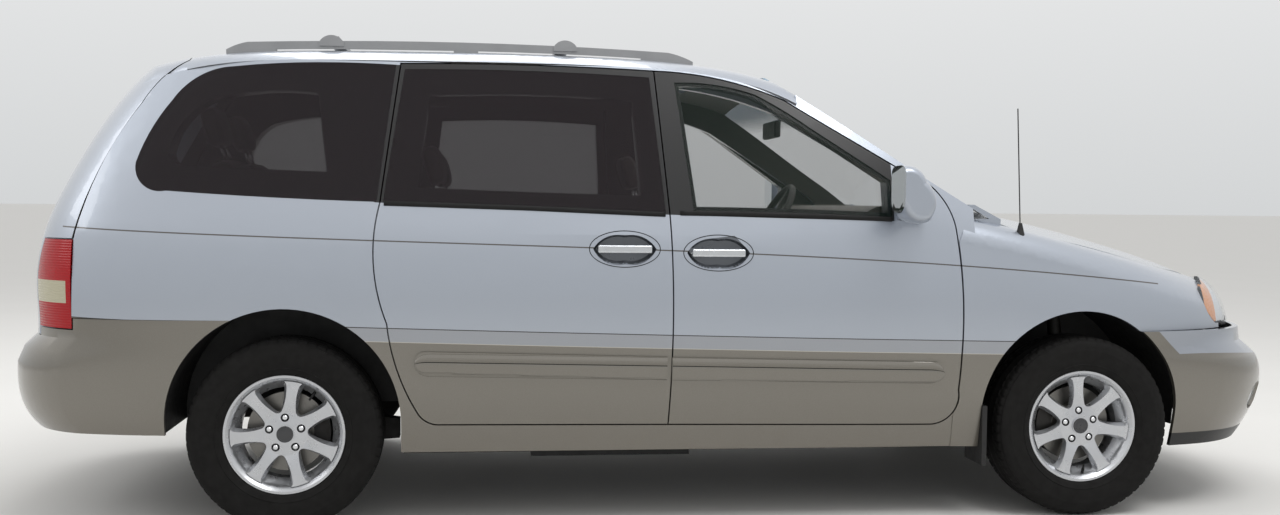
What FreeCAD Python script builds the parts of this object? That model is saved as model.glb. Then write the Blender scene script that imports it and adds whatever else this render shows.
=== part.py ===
import FreeCAD, Part
import math
import os

# Minivan with hinged front doors, two sliding side doors, hood and tailgate.
# Millimetres. X points forward, Y to the left side, Z up. The origin is on the
# ground, half way along the body and on the centre plane.

V = FreeCAD.Vector
UP = V(0, 0, 1)
ACROSS = V(0, 1, 0)
ALONG = V(1, 0, 0)
LEFT = 1
RIGHT = -1
SIDES = (("left", LEFT), ("right", RIGHT))

# Wheels and axles
FRONT_AXLE_X = 1480.0
REAR_AXLE_X = -1430.0
TYRE_RADIUS = 336.0
TYRE_WIDTH = 215.0
WHEEL_CENTRE_Y = 810.0
RIM_RADIUS = 207.5
RIM_WIDTH = 178.0
BEAD_RADIUS = 190.0
LUG_CIRCLE_RADIUS = 57.15
LUG_COUNT = 5
SPOKE_COUNT = 7
DISC_RADIUS = 140.0
DISC_THICKNESS = 24.0
HUB_FACE_OFFSET = 38.0
HAT_WALL = 7.0
SPINDLE_RADIUS = 30.0

# Clearances
PANEL_GAP = 5.0
SEAT_GAP = 0.3
RUN_GAP = 6.0

# Panel thicknesses
DOOR_DEPTH = 78.0
SIDE_DEPTH = 124.0
ROOF_DEPTH = 34.0
HOOD_DEPTH = 22.0
FENDER_DEPTH = 20.0
TAILGATE_DEPTH = 70.0
BUMPER_DEPTH = 18.0
GLASS = 5.0

# Body limits
DOOR_FRONT_X = 986.0
FLOOR_Z = 300.0
FLOOR_DEPTH = 40.0
FIREWALL_X = 1010.0
FRONT_ARCH_X = 1466.0
FRONT_ARCH_Z = 380.0
FRONT_ARCH_RADIUS = 390.0
REAR_ARCH_Z = 378.0
REAR_ARCH_RADIUS = 400.0
LINER_DEPTH = 6.0
STEER_ROOM = 12.0
WELL_INNER_Y = 480.0
REAR_WELL_INNER_Y = 560.0
REAR_FLOOR_Z = 440.0
REAR_FLOOR_FRONT_X = -1010.0
REAR_PANEL_X = -2290.0


# Smooth curves through short tables

def curve(rows):
    """Smooth curve with no overshoot through rows of (position, value)."""
    xs = [row[0] for row in rows]
    ys = [row[1] for row in rows]
    count = len(rows)
    step = [xs[i + 1] - xs[i] for i in range(count - 1)]
    slope = [(ys[i + 1] - ys[i]) / step[i] for i in range(count - 1)]
    tangent = [slope[0]]
    for i in range(1, count - 1):
        before, after = slope[i - 1], slope[i]
        if before * after <= 0:
            tangent.append(0.0)
        else:
            weight_a = 2 * step[i] + step[i - 1]
            weight_b = step[i] + 2 * step[i - 1]
            tangent.append((weight_a + weight_b) / (weight_a / before + weight_b / after))
    tangent.append(slope[-1])

    def value(x):
        if x <= xs[0]:
            return ys[0] + tangent[0] * (x - xs[0])
        if x >= xs[-1]:
            return ys[-1] + tangent[-1] * (x - xs[-1])
        i = max(k for k in range(count - 1) if xs[k] <= x)
        s = (x - xs[i]) / step[i]
        start = (1 + 2 * s) * (1 - s) ** 2 * ys[i] + s * (1 - s) ** 2 * step[i] * tangent[i]
        end = s * s * (3 - 2 * s) * ys[i + 1] + s * s * (s - 1) * step[i] * tangent[i + 1]
        return start + end

    return value


# Height, half width of the body side
SIDE_WIDTH = curve([(180, 872), (280, 897), (400, 921), (600, 940), (780, 947.5), (950, 940),
                    (1040, 927), (1100, 912), (1200, 884), (1400, 824), (1600, 752), (1700, 712)])
# Height, x of the nose and of the tail on the centre plane
NOSE_X = curve([(600, 2372), (671, 2372), (725, 2362), (780, 2340), (828, 2308), (860, 2270), (900, 2200)])
TAIL_X = curve([(600, -2385), (850, -2385), (950, -2375), (1050, -2352), (1200, -2290), (1390, -2190),
                (1550, -2080), (1640, -2000), (1700, -1930)])
FRONT_BUMPER_X = curve([(250, 2372), (336, 2425), (450, 2464), (533, 2462), (590, 2432), (640, 2365),
                        (700, 2355)])
REAR_BUMPER_X = curve([(338, -2395), (385, -2435), (482, -2465), (572, -2465), (625, -2440), (668, -2390),
                       (750, -2385)])
# Height, x of the windscreen on the centre plane
SCREEN_X = curve([(1000, 1440), (1100, 1262), (1240, 1030), (1380, 798), (1520, 570), (1660, 330), (1740, 190)])
SCREEN_SAG = 5400.0
# x, height of the hood and of the roof on the centre plane
HOOD_Z = curve([(900, 1180), (1040, 1166), (1200, 1150), (1400, 1116), (1600, 1070), (1800, 1020),
                (2000, 962), (2150, 910), (2230, 876), (2290, 843), (2500, 700)])
HOOD_SAG = 2300.0
HOOD_CROWN = 2.0e-5
ROOF_Z = curve([(-2000, 1672), (-1850, 1700), (-1500, 1725), (-1200, 1733), (-760, 1737), (-455, 1732),
                (-130, 1720), (100, 1701), (250, 1682), (330, 1664), (420, 1640)])

# x, height of the seam between the roof and the side, above the doors and windows
SEAM_Z = curve([(-1960, 1560), (-1800, 1606), (-1628, 1637), (-1460, 1650), (-1045, 1656), (-560, 1658),
                (-131, 1648), (100, 1622), (250, 1590), (351, 1552), (440, 1500)])


def plan_width(x, z, nose, power, fullness, reference):
    """Half width at x of a plan outline that closes at the nose."""
    t = (x - reference) / (nose - reference)
    if t <= 0:
        return SIDE_WIDTH(z)
    return SIDE_WIDTH(z) * (1 - min(t, 0.93) ** fullness) ** (1 / power)


def side_y(x, z):
    """Half width of the body side at x and z."""
    if x > 300:
        return plan_width(x, z, NOSE_X(max(z, 640)), 2.6, 5.5, 300.0)
    if x < -500:
        return plan_width(-x, z, -TAIL_X(max(z, 640)), 3.5, 10.0, 500.0)
    return SIDE_WIDTH(z)


def hood_z(x, y):
    return HOOD_Z(x + y * y / HOOD_SAG) - HOOD_CROWN * y * y


# Wires and solids

def line(a, b):
    return Part.LineSegment(a, b).toShape()


def arc(a, middle, b):
    return Part.Arc(a, middle, b).toShape()


def segments(rows):
    """Pieces of a closed outline: start, middle point of an arc or None, end."""
    pieces = []
    here = V(rows[0][0], 0, rows[0][1])
    middle = None
    for x, z, kind in rows[1:] + rows[:1]:
        there = V(x, 0, z)
        if kind == "via":
            middle = there
        else:
            pieces.append((here, middle, there))
            here = there
            middle = None
    return pieces


def outline(rows):
    """Closed face in the XZ plane from rows of (x, z, kind).

    Kind "to" ends a line or an arc there, and "via" is an arc's middle point.
    """
    edges = [arc(*piece) if piece[1] else line(piece[0], piece[2]) for piece in segments(rows)]
    return Part.Face(Part.Wire(edges))


def grown(rows, distance):
    """The rows of an outline moved outwards or, with a negative distance, inwards."""
    area = 0.0
    normals = []
    for start, middle, end in segments(rows):
        area += start.x * end.z - end.x * start.z
        if middle:
            centre = arc(start, middle, end).Curve.Center
            sense = 1 if (middle - start).cross(end - middle).y < 0 else -1
            normals.append([(point - centre).normalize() * sense for point in (start, middle, end)])
        else:
            along = (end - start).normalize()
            normals.append([V(along.z, 0, -along.x)] * 3)
    turn = distance if area > 0 else -distance
    moved = []
    for i, (start, middle, end) in enumerate(segments(rows)):
        before, after = normals[i - 1][2], normals[i][0]
        corner = start + (before + after) * (turn / (1 + before.dot(after)))
        moved.append((corner.x, corner.z, "to"))
        if middle:
            point = middle + normals[i][1] * turn
            moved.append((point.x, point.z, "via"))
    return moved


def through(rows, side=0, inner=400.0, outer=1300.0):
    """Prism of an outline along Y, on one side of the body or on both."""
    face = outline(rows)
    if side == 0:
        return face.translated(V(0, -outer, 0)).extrude(V(0, 2 * outer, 0))
    return face.translated(V(0, side * inner, 0)).extrude(V(0, side * (outer - inner), 0))


def box(x0, x1, y0, y1, z0, z1):
    return Part.makeBox(x1 - x0, y1 - y0, z1 - z0, V(x0, y0, z0))


def rod(x, y, z, radius, length, direction):
    return Part.makeCylinder(radius, length, V(x, y, z), direction)


def main_solid(shape):
    """The largest solid of a shape, without the offcuts beyond its neighbours."""
    return max(shape.Solids, key=lambda solid: solid.Volume)


def mirrored(shape):
    return shape.mirror(V(0, 0, 0), ACROSS)


def on_side(shape, side):
    """A shape drawn on the right side, moved to the given side."""
    return shape if side == RIGHT else mirrored(shape)


def loft(wires, ruled=False):
    return Part.makeLoft(wires, True, ruled)


def skin_wire(outer, inner):
    """Closed wire: arcs through the outer points, lines through the inner ones."""
    edges = []
    for i in range(0, len(outer) - 2, 2):
        edges.append(arc(outer[i], outer[i + 1], outer[i + 2]))
    edges.append(line(outer[-1], inner[-1]))
    for i in range(len(inner) - 1, 1, -2):
        edges.append(arc(inner[i], inner[i - 1], inner[i - 2]))
    edges.append(line(inner[0], outer[0]))
    return Part.Wire(edges)


# Skins: each returns a solid between two depths below the outer surface

SIDE_LEVELS = (225, 420, 610, 830, 1040, 1370, 1700)
SIDE_STATIONS = (-2170, -1950, -1650, -1200, -500, 200, 700, 1060)


def side_skin(start, end, stations=SIDE_STATIONS):
    """Right body side."""
    wires = []
    for x in stations:
        outer = [V(x, -(side_y(x, z) - start), z) for z in SIDE_LEVELS]
        inner = [V(x, -(side_y(x, z) - end), z) for z in SIDE_LEVELS]
        wires.append(skin_wire(outer, inner))
    return loft(wires)


ROOF_STATIONS = (-1960, -1650, -1200, -700, -200, 120, 400)
# Share of the half width, share of the height above the seam
ROOF_SECTION = ((0, 0), (0.45, 0.1), (0.83, 0.42), (0.945, 0.68), (1.0, 1.0))


def roof_skin(start, end):
    """Roof with its rounded edges down to the seam above the doors."""
    wires = []
    for x in ROOF_STATIONS:
        rows = []
        for depth in (start, end):
            top = ROOF_Z(x) - depth
            seam = SEAM_Z(x)
            edge = side_y(x, seam) - depth
            half = [V(x, edge * across, top - down * (top - seam)) for across, down in ROOF_SECTION]
            rows.append([V(p.x, -p.y, p.z) for p in reversed(half[1:])] + half)
        wires.append(skin_wire(*rows))
    return loft(wires)


SCREEN_LEVELS = (1030, 1180, 1340, 1500, 1640, 1730)
SCREEN_HALF = 980.0


def screen_skin(start, end):
    """Windscreen surface, much wider than the glass, between two depths."""
    wires = []
    for z in SCREEN_LEVELS:
        corners = []
        for depth in (start, end):
            middle = SCREEN_X(z) - depth / 0.515
            edge = middle - SCREEN_HALF ** 2 / SCREEN_SAG
            corners.append((V(edge, -SCREEN_HALF, z), V(middle, 0, z), V(edge, SCREEN_HALF, z)))
        front, back = corners
        edges = [arc(*front), line(front[2], back[2]), arc(back[2], back[1], back[0]), line(back[0], front[0])]
        wires.append(Part.Wire(edges))
    return loft(wires)


FENDER_STATIONS = (970, 1150, 1400, 1650, 1850, 2000, 2110)
SHOULDER = 88.0


def shoulder_points(x, depth):
    """Half section of the front wing, from the sill up to the hood's edge."""
    start_z = hood_z(x, side_y(x, 900)) - SHOULDER
    low = [V(x, -(side_y(x, z) - depth), z) for z in (235, 420, 610, 0.5 * (610 + start_z), start_z)]
    edge_y = side_y(x, 900) - SHOULDER
    top = V(x, -edge_y, hood_z(x, edge_y) - depth)
    corner = V(x, -(side_y(x, start_z + SHOULDER) - depth), hood_z(x, edge_y) - depth)
    chord = (low[-1] + top) * 0.5
    middle = chord + (corner - chord) * 0.46
    return low + [middle, top]


def fender_skin(start, end):
    """Right front wing."""
    return loft([skin_wire(shoulder_points(x, start), shoulder_points(x, end)) for x in FENDER_STATIONS])


HOOD_STATIONS = (1010, 1200, 1450, 1700, 1900, 2080, 2200, 2300)


def hood_skin(start, end):
    """Hood surface, trimmed to its outline later."""
    wires = []
    for x in HOOD_STATIONS:
        half = side_y(min(x, 2110), 900) - SHOULDER - PANEL_GAP
        rows = []
        for depth in (start, end):
            rows.append([V(x, y, hood_z(x, y) - depth) for y in (-half, -0.5 * half, 0, 0.5 * half, half)])
        wires.append(skin_wire(*rows))
    return loft(wires)


# Share of the half width at each point of a plan outline
PLAN_SHARES = (0.0, 0.38, 0.7, 0.83, 0.92)


def plan_wire(z, nose, power, fullness, reference, back, start, end, facing):
    """Plan outline at a height, from one side round the nose to the other."""
    rows = []
    for depth in (start, end):
        width = SIDE_WIDTH(z) - depth
        tip = nose - depth
        half = []
        for share in PLAN_SHARES:
            t = (1 - share ** power) ** (1 / fullness)
            half.append(V(facing * (reference + (tip - reference) * t), width * share, z))
        corner_x = facing * half[-1].x
        for x in (0.5 * (corner_x + back), back):
            t = (x - reference) / (tip - reference)
            half.append(V(facing * x, width * (1 - t ** fullness) ** (1 / power), z))
        right = [V(p.x, -p.y, p.z) for p in reversed(half[1:])]
        rows.append(right + half)
    return skin_wire(*rows)


def nose_skin(start, end, levels=(655, 700, 750, 800, 850, 890), back=1560.0):
    """Front end above the bumper."""
    return loft([plan_wire(z, NOSE_X(z), 2.6, 5.5, 300.0, back, start, end, 1) for z in levels])


def tail_skin(start, end, levels=(640, 850, 1050, 1250, 1450, 1600, 1690, 1750), back=1560.0):
    """Rear end above the bumper."""
    return loft([plan_wire(z, -TAIL_X(z), 3.5, 10.0, 500.0, back, start, end, -1) for z in levels])


def front_bumper_skin(start, end):
    low = [plan_wire(z, FRONT_BUMPER_X(z), 3.0, 7.0, 300.0, 1560.0, start, end, 1)
           for z in (250, 336, 440, 533, 585)]
    high = [plan_wire(z, FRONT_BUMPER_X(z), 3.0, 7.0, 300.0, 1560.0, start, end, 1)
            for z in (585, 640, 692)]
    return loft(low).fuse(loft(high, True))


def rear_bumper_skin(start, end):
    low = [plan_wire(z, -REAR_BUMPER_X(z), 3.4, 9.0, 500.0, 1560.0, start, end, -1)
           for z in (338, 385, 480, 572)]
    high = [plan_wire(z, -REAR_BUMPER_X(z), 3.4, 9.0, 500.0, 1560.0, start, end, -1)
            for z in (572, 625, 668, 738)]
    return loft(low).fuse(loft(high, True))


# Outlines in side view: x, z, kind
FRONT_DOOR = [(-88, 362, "to"), (-77, 740, "via"), (-88, 1115, "to"), (-131, 1637, "to"),
                      (120, 1610, "via"), (351, 1539, "to"), (772, 1285, "to"), (905, 1205, "via"),
                      (968, 1080, "to"), (992, 800, "via"), (985, 480, "to"), (962, 387, "via"),
                      (880, 352, "to")]
SLIDING_DOOR = [(-88, 362, "to"), (-77, 740, "via"), (-88, 1115, "to"), (-131, 1637, "to"),
                        (-600, 1650, "via"), (-1045, 1646, "to"), (-1075, 1396, "via"), (-1106, 1144, "to"),
                        (-1126, 960, "via"), (-1078, 726, "to"), (-1040, 555, "via"), (-976, 416, "to"),
                        (-945, 382, "via"), (-892, 369, "to")]
FRONT_WINDOW = [(-57, 1595, "to"), (110, 1588, "via"), (243, 1557, "to"), (335, 1507, "via"),
                        (441, 1437, "to"), (728, 1246, "to"), (728, 1112, "to"), (360, 1124, "via"),
                        (-2, 1128, "to")]
SLIDING_WINDOW = [(-150, 1612, "to"), (-600, 1628, "via"), (-1030, 1624, "to"), (-1095, 1150, "to"),
                          (-590, 1140, "via"), (-103, 1120, "to")]
SLIDING_CLEAR = [(-215, 1525, "to"), (-580, 1540, "via"), (-940, 1530, "to"), (-980, 1200, "to"),
                         (-600, 1188, "via"), (-190, 1180, "to")]
QUARTER_WINDOW = [(-1062, 1640, "to"), (-1350, 1642, "via"), (-1628, 1622, "to"),
                          (-1760, 1578, "via"), (-1833, 1499, "to"), (-1900, 1385, "via"),
                          (-1939, 1276, "to"), (-1915, 1205, "via"), (-1829, 1179, "to"),
                          (-1464, 1159, "via"), (-1118, 1148, "to")]
QUARTER_CLEAR = [(-1330, 1530, "to"), (-1560, 1530, "via"), (-1700, 1500, "to"),
                         (-1790, 1420, "via"), (-1830, 1310, "to"), (-1810, 1275, "via"),
                         (-1770, 1265, "to"), (-1290, 1250, "to")]
BODY_SIDE = [(-1790, 1652, "to"), (-1862, 1597, "via"), (-1940, 1490, "to"), (-2085, 1210, "via"),
                     (-2141, 1010, "to"), (-2141, 742, "to"), (-1640, 738, "to"), (-1640, 250, "to"),
                     (-1180, 270, "to"), (DOOR_FRONT_X - 16, 267, "to"), (1040, 500, "to"),
                     (1040, 1150, "to"), (936, 1225, "to"), (640, 1425, "to"), (450, 1560, "to"),
                     (330, 1652, "to")]


def wheel_arch(x, z, radius, side=0, inner=0.0):
    """Space of a wheel arch, open below."""
    rows = [(x - radius, z, "to"), (x, z + radius, "via"), (x + radius, z, "to"),
            (x + radius, 0, "to"), (x - radius, 0, "to")]
    return through(rows, side, inner)


FRONT_ARCH = (FRONT_ARCH_X, FRONT_ARCH_Z, FRONT_ARCH_RADIUS)
REAR_ARCH = (REAR_AXLE_X, REAR_ARCH_Z, REAR_ARCH_RADIUS)

nodes = {}


def keep(name, *solids):
    """Store the solids of one node."""
    nodes[name] = solids[0] if len(solids) == 1 else Part.makeCompound(list(solids))


def pane(skin_maker, rows, clear):
    """Glass pane of the right side, and the recess and clear opening that it fills."""
    glass = skin_maker(0, GLASS).common(through(rows, RIGHT))
    recess = skin_maker(-20, GLASS + SEAT_GAP).common(through(grown(rows, SEAT_GAP), RIGHT))
    return glass, [recess, through(clear, RIGHT)]


# Roof, body sides and doors

def across_x(rows, x0, x1):
    """Prism along X of an outline drawn from the front: rows of (y, z, kind)."""
    face = outline(rows)
    face = face.rotated(V(0, 0, 0), UP, 90)
    return face.translated(V(x0, 0, 0)).extrude(V(x1 - x0, 0, 0))


SCREEN_VIEW = [(-835, 1108, "to"), (-746, 1385, "via"), (-652, 1630, "to"), (0, 1662, "via"),
               (652, 1630, "to"), (746, 1385, "via"), (835, 1108, "to")]
FRONT_CLEARED = screen_skin(-300, 0)
SCREEN_SEAT = screen_skin(-300, GLASS + SEAT_GAP).common(across_x(grown(SCREEN_VIEW, SEAT_GAP), 0, 1500))

ROOF_REAR_X = -1795.0
roof = roof_skin(0, ROOF_DEPTH)
roof = roof.cut(box(-2100, ROOF_REAR_X, -900, 900, 1400, 1900))
roof = roof.cut(FRONT_CLEARED).cut(SCREEN_SEAT)
SUNROOF = (-190.0, 170.0, 420.0)
SUNROOF_RADIUS = 60.0


def sunroof_hole(margin):
    x0, x1, half = SUNROOF
    hole = box(x0 - margin, x1 + margin, -half - margin, half + margin, 1600, 1900)
    upright = [edge for edge in hole.Edges if abs(edge.tangentAt(edge.FirstParameter).z) > 0.9]
    return hole.makeFillet(SUNROOF_RADIUS, upright)


roof = roof.cut(sunroof_hole(-18)).cut(roof_skin(-20, 6).common(sunroof_hole(SEAT_GAP)))
sunroof_glass = roof_skin(0, 6 - SEAT_GAP).common(sunroof_hole(0))
windscreen = screen_skin(0, GLASS).common(across_x(SCREEN_VIEW, 0, 1500))

front_door_opening = grown(FRONT_DOOR, PANEL_GAP / 2)
sliding_door_opening = grown(SLIDING_DOOR, PANEL_GAP / 2)
FLANGE = 52.0
door_space = side_skin(-20, DOOR_DEPTH + RUN_GAP)
body_side = side_skin(0, SIDE_DEPTH).common(through(BODY_SIDE, RIGHT))
for rows in (front_door_opening, sliding_door_opening):
    body_side = body_side.cut(door_space.common(through(rows, RIGHT)))
for rows in (FRONT_DOOR, SLIDING_DOOR):
    body_side = body_side.cut(through(grown(rows, -FLANGE), RIGHT))
quarter_glass, quarter_cuts = pane(side_skin, QUARTER_WINDOW, QUARTER_CLEAR)
body_side = body_side.cut(quarter_cuts).cut(FRONT_CLEARED).cut(SCREEN_SEAT)
body_side = body_side.cut(roof_skin(-60, ROOF_DEPTH))
body_side = body_side.cut(wheel_arch(*REAR_ARCH))
keep("roof", roof)
keep("sunroof_glass", sunroof_glass)
keep("windscreen", windscreen)
FUEL_DOOR = [(-1700, 840, "to"), (-1708, 925, "via"), (-1700, 985, "to"), (-1785, 992, "via"), (-1868, 980, "to"),
             (-1872, 910, "via"), (-1868, 845, "to"), (-1785, 836, "via")]
FUEL_LID = 4.0
FUEL_POCKET = 48.0
lid_space = through(grown(FUEL_DOOR, PANEL_GAP / 2), RIGHT)
left_side = body_side.cut(side_skin(-20, FUEL_LID + SEAT_GAP).common(lid_space))
left_side = left_side.cut(side_skin(-20, FUEL_POCKET).common(through(grown(FUEL_DOOR, -14), RIGHT)))
filler = rod(-1785, -(side_y(-1785, 912) - 18), 912, 30, 60, ACROSS)
left_side = left_side.fuse(filler)
fuel_lid = side_skin(0, FUEL_LID).common(through(grown(FUEL_DOOR, -PANEL_GAP / 2), RIGHT))
keep("fuel_door", mirrored(fuel_lid))
keep("body_side_left", mirrored(left_side))
keep("body_side_right", body_side)
keep("quarter_glass", quarter_glass, mirrored(quarter_glass))

SEAL_WIDTH = 14.0
seal_space = side_skin(DOOR_DEPTH + SEAT_GAP, DOOR_DEPTH + RUN_GAP)
HINGE_SIDE_X = 880.0
HINGE_SEAL_GAP = 3.2
seal_space = seal_space.cut(side_skin(0, DOOR_DEPTH + HINGE_SEAL_GAP).common(
    box(HINGE_SIDE_X, DOOR_FRONT_X + 60, -1000, -600, 300, 1700)))
seals = []
for rows in (FRONT_DOOR, SLIDING_DOOR):
    ring = through(grown(rows, -FLANGE + 24 + SEAL_WIDTH), RIGHT).cut(through(grown(rows, -FLANGE + 24), RIGHT))
    seals.append(seal_space.common(ring))
keep("door_seals", *(seals + [mirrored(seal) for seal in seals]))

MOULDING_RISE = 9.0
MOULDINGS = {"front": [(-80, 607, "to"), (-80, 524, "to"), (894, 511, "to"), (930, 549, "via"), (894, 586, "to")],
             "sliding": [(-95, 608, "to"), (-95, 528, "to"), (-945, 556, "to"), (-984, 593, "via"),
                         (-945, 629, "to")]}
door_sheet = side_skin(0, DOOR_DEPTH)
strip_sheet = side_skin(-MOULDING_RISE, 1)
front_glass, front_cuts = pane(side_skin, FRONT_WINDOW, grown(FRONT_WINDOW, -14))
sliding_glass, sliding_cuts = pane(side_skin, SLIDING_WINDOW, SLIDING_CLEAR)
front_door = door_sheet.common(through(grown(FRONT_DOOR, -PANEL_GAP / 2), RIGHT)).cut(front_cuts)
front_door = front_door.fuse(strip_sheet.common(through(MOULDINGS["front"], RIGHT)))
sliding_door = door_sheet.common(through(grown(SLIDING_DOOR, -PANEL_GAP / 2), RIGHT)).cut(sliding_cuts)
sliding_door = sliding_door.fuse(strip_sheet.common(through(MOULDINGS["sliding"], RIGHT)))
HANDLE_POCKET_DEPTH = 24.0
HANDLE_GRIP_HALF = 96.0
HANDLE_GRIP_RISE = 14.0
HANDLE_PROUD = 13.0
HANDLE_THICKNESS = 15.0
HANDLE_END = 26.0
# x and z of the middle, half length and half height of each handle's pocket
HANDLES = {"front": (85.0, 978.0, 119.0, 57.0), "sliding": (-251.0, 990.0, 118.0, 56.0)}
KEYHOLE = (-10.0, 985.0, 11.0)


def oval(x, z, half_length, half_height):
    """Rows of an oval of four arcs."""
    rows = []
    for dx, dz, kind in ((-1, 0, "to"), (-0.74, 0.68, "via"), (0, 1, "to"), (0.74, 0.68, "via"),
                         (1, 0, "to"), (0.74, -0.68, "via"), (0, -1, "to"), (-0.74, -0.68, "via")):
        rows.append((x + dx * half_length, z + dz * half_height, kind))
    return rows


def with_handle(door, key):
    """Door of the right side with its handle's pocket and grip."""
    x, z, half_length, half_height = HANDLES[key]
    skin_y = -side_y(x, z)
    floor_y = skin_y + HANDLE_POCKET_DEPTH
    wires = []
    for y, inset in ((skin_y - 15, -3), (floor_y, 16)):
        rows = oval(x, z, half_length - inset, half_height - inset)
        wires.append(outline(rows).OuterWire.translated(V(0, y, 0)))
    grip = box(x - HANDLE_GRIP_HALF, x + HANDLE_GRIP_HALF, skin_y - HANDLE_PROUD,
               skin_y - HANDLE_PROUD + HANDLE_THICKNESS, z - HANDLE_GRIP_RISE, z + HANDLE_GRIP_RISE)
    grip = grip.makeFillet(6, grip.Edges)
    door = door.cut(loft(wires)).fuse(grip)
    for end in (-1, 1):
        x0, x1 = sorted((x + end * (HANDLE_GRIP_HALF - 4), x + end * (HANDLE_GRIP_HALF - HANDLE_END)))
        door = door.fuse(box(x0, x1, skin_y - HANDLE_PROUD + 6, floor_y + 2,
                             z - HANDLE_GRIP_RISE + 3, z + HANDLE_GRIP_RISE - 3))
    return door


front_door = with_handle(front_door, "front")
key_x, key_z, key_radius = KEYHOLE
front_door = front_door.fuse(rod(key_x, -side_y(key_x, key_z) + 4, key_z, key_radius, HANDLE_POCKET_DEPTH, ACROSS))
sliding_door = with_handle(sliding_door, "sliding")
for name, side in SIDES:
    keep("front_door_" + name, on_side(front_door, side))
    keep("front_door_glass_" + name, on_side(front_glass, side))
    keep("sliding_door_" + name, on_side(sliding_door, side))
keep("sliding_door_glass", sliding_glass, mirrored(sliding_glass))


# Hood, front wings and front end

HOOD_FRONT_X = 2272.0
LAMP_GAP = 0.8
HOOD_REAR_X = 1290.0
LAMP_SIDE = [(2049, 862, "to"), (2014, 838, "to"), (2028, 775, "via"), (2088, 711, "to"),
             (2400, 700, "to"), (2400, 880, "to"), (2070, 880, "to")]
FENDER = [(970, 1000, "to"), (1000, 1075, "to"), (1010, 1240, "to"), (2110, 1240, "to"), (2110, 692.3, "to"),
          (1700, 692.3, "to"), (1700, 250, "to"), (970, 267, "to")]


def hood_plan(x_front, x_rear, z0=600.0, z1=1300.0):
    """Prism of the hood's plan outline, its front and rear edges bowed forward."""
    rows = []
    for x, y in ((x_rear, 0), (x_rear - 120, 810), (x_front - 215, 700), (x_front, 0)):
        rows.append((x, y))
    rear, rear_corner, front_corner, front = [V(x, y, z0) for x, y in rows]
    across = [V(p.x, -p.y, z0) for p in (rear_corner, front_corner)]
    face = Part.Face(Part.Wire([arc(across[0], rear, rear_corner),
                                line(rear_corner, V(rear_corner.x, 1000, z0)),
                                line(V(rear_corner.x, 1000, z0), V(front_corner.x, 1000, z0)),
                                line(V(front_corner.x, 1000, z0), front_corner),
                                arc(front_corner, front, across[1]),
                                line(across[1], V(across[1].x, -1000, z0)),
                                line(V(across[1].x, -1000, z0), V(across[0].x, -1000, z0)),
                                line(V(across[0].x, -1000, z0), across[0])]))
    return face.extrude(V(0, 0, z1 - z0))


hood = hood_skin(0, HOOD_DEPTH).common(hood_plan(HOOD_FRONT_X, HOOD_REAR_X))
fender = fender_skin(0, FENDER_DEPTH).common(through(FENDER, RIGHT))
fender = fender.cut(through(front_door_opening, RIGHT)).cut(wheel_arch(*FRONT_ARCH))
fender = fender.cut(body_side)
fender = fender.cut(through(grown(LAMP_SIDE, LAMP_GAP), RIGHT))
keep("front_fenders", fender, mirrored(fender))

LAMP_VIEW = [(-990, 600, "to"), (-990, 960, "to"), (-640, 960, "to"), (-420, 845, "to"), (-440, 742, "via"),
             (-500, 716, "to"), (-800, 700, "to"), (-960, 690, "to")]
LAMP_DEPTH = 90.0
lamp = nose_skin(0, LAMP_DEPTH).common(through(LAMP_SIDE, RIGHT))
lamp = lamp.common(across_x(LAMP_VIEW, 1800, 2500))
lamp = lamp.cut(hood_skin(-200, HOOD_DEPTH + PANEL_GAP))
GRILLE_VIEW = [(-410, 842, "to"), (0, 860, "via"), (410, 842, "to"), (430, 742, "via"), (488, 712, "to"),
               (484, 698, "to"), (0, 692.3, "via"), (-484, 698, "to"), (-488, 712, "to"), (-430, 742, "via")]
GRILLE_BARS = 4
GRILLE_SLOT_HALF = 388.0
grille_block = nose_skin(0, 26).common(across_x(GRILLE_VIEW, 2100, 2500))
slots = None
for i in range(GRILLE_BARS + 1):
    z = 712 + i * 26
    slot = box(2100, 2500, -GRILLE_SLOT_HALF, GRILLE_SLOT_HALF, z, z + 15)
    slots = slot if slots is None else slots.fuse(slot)
grille = grille_block.cut(nose_skin(-10, 18).common(slots))
grille = main_solid(grille.cut(hood_skin(-200, HOOD_DEPTH + PANEL_GAP)))
keep("grille", grille)
wing_space = fender_skin(-40, FENDER_DEPTH + 40).translated(V(0, PANEL_GAP, 0))
hood = main_solid(hood.cut(wing_space).cut(mirrored(wing_space)))
keep("hood", hood)

front_bumper = front_bumper_skin(0, BUMPER_DEPTH)
front_bumper = front_bumper.cut(wheel_arch(*FRONT_ARCH))
INTAKE_VIEW = [(-560, 470, "to"), (0, 480, "via"), (560, 470, "to"), (500, 330, "to"), (0, 322, "via"),
               (-500, 330, "to")]
front_bumper = front_bumper.cut(across_x(INTAKE_VIEW, 2200, 2600))
FOG_LAMP = (-690.0, 420.0, 54.0)
FOG_LAMP_DEPTH = 60.0
fog_y, fog_z, fog_radius = FOG_LAMP
fog_space = rod(2100, fog_y, fog_z, fog_radius, 400, ALONG)
front_bumper = front_bumper.cut(fog_space).cut(mirrored(fog_space))
fog_lamp = front_bumper_skin(8, 8 + FOG_LAMP_DEPTH).common(rod(2100, fog_y, fog_z, fog_radius - SEAT_GAP, 400, ALONG))
fog_lamp = main_solid(fog_lamp)
keep("front_bumper", front_bumper)
keep("headlamps", lamp, mirrored(lamp), fog_lamp, mirrored(fog_lamp))

# Tailgate, tail lamps and rear bumper

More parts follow.
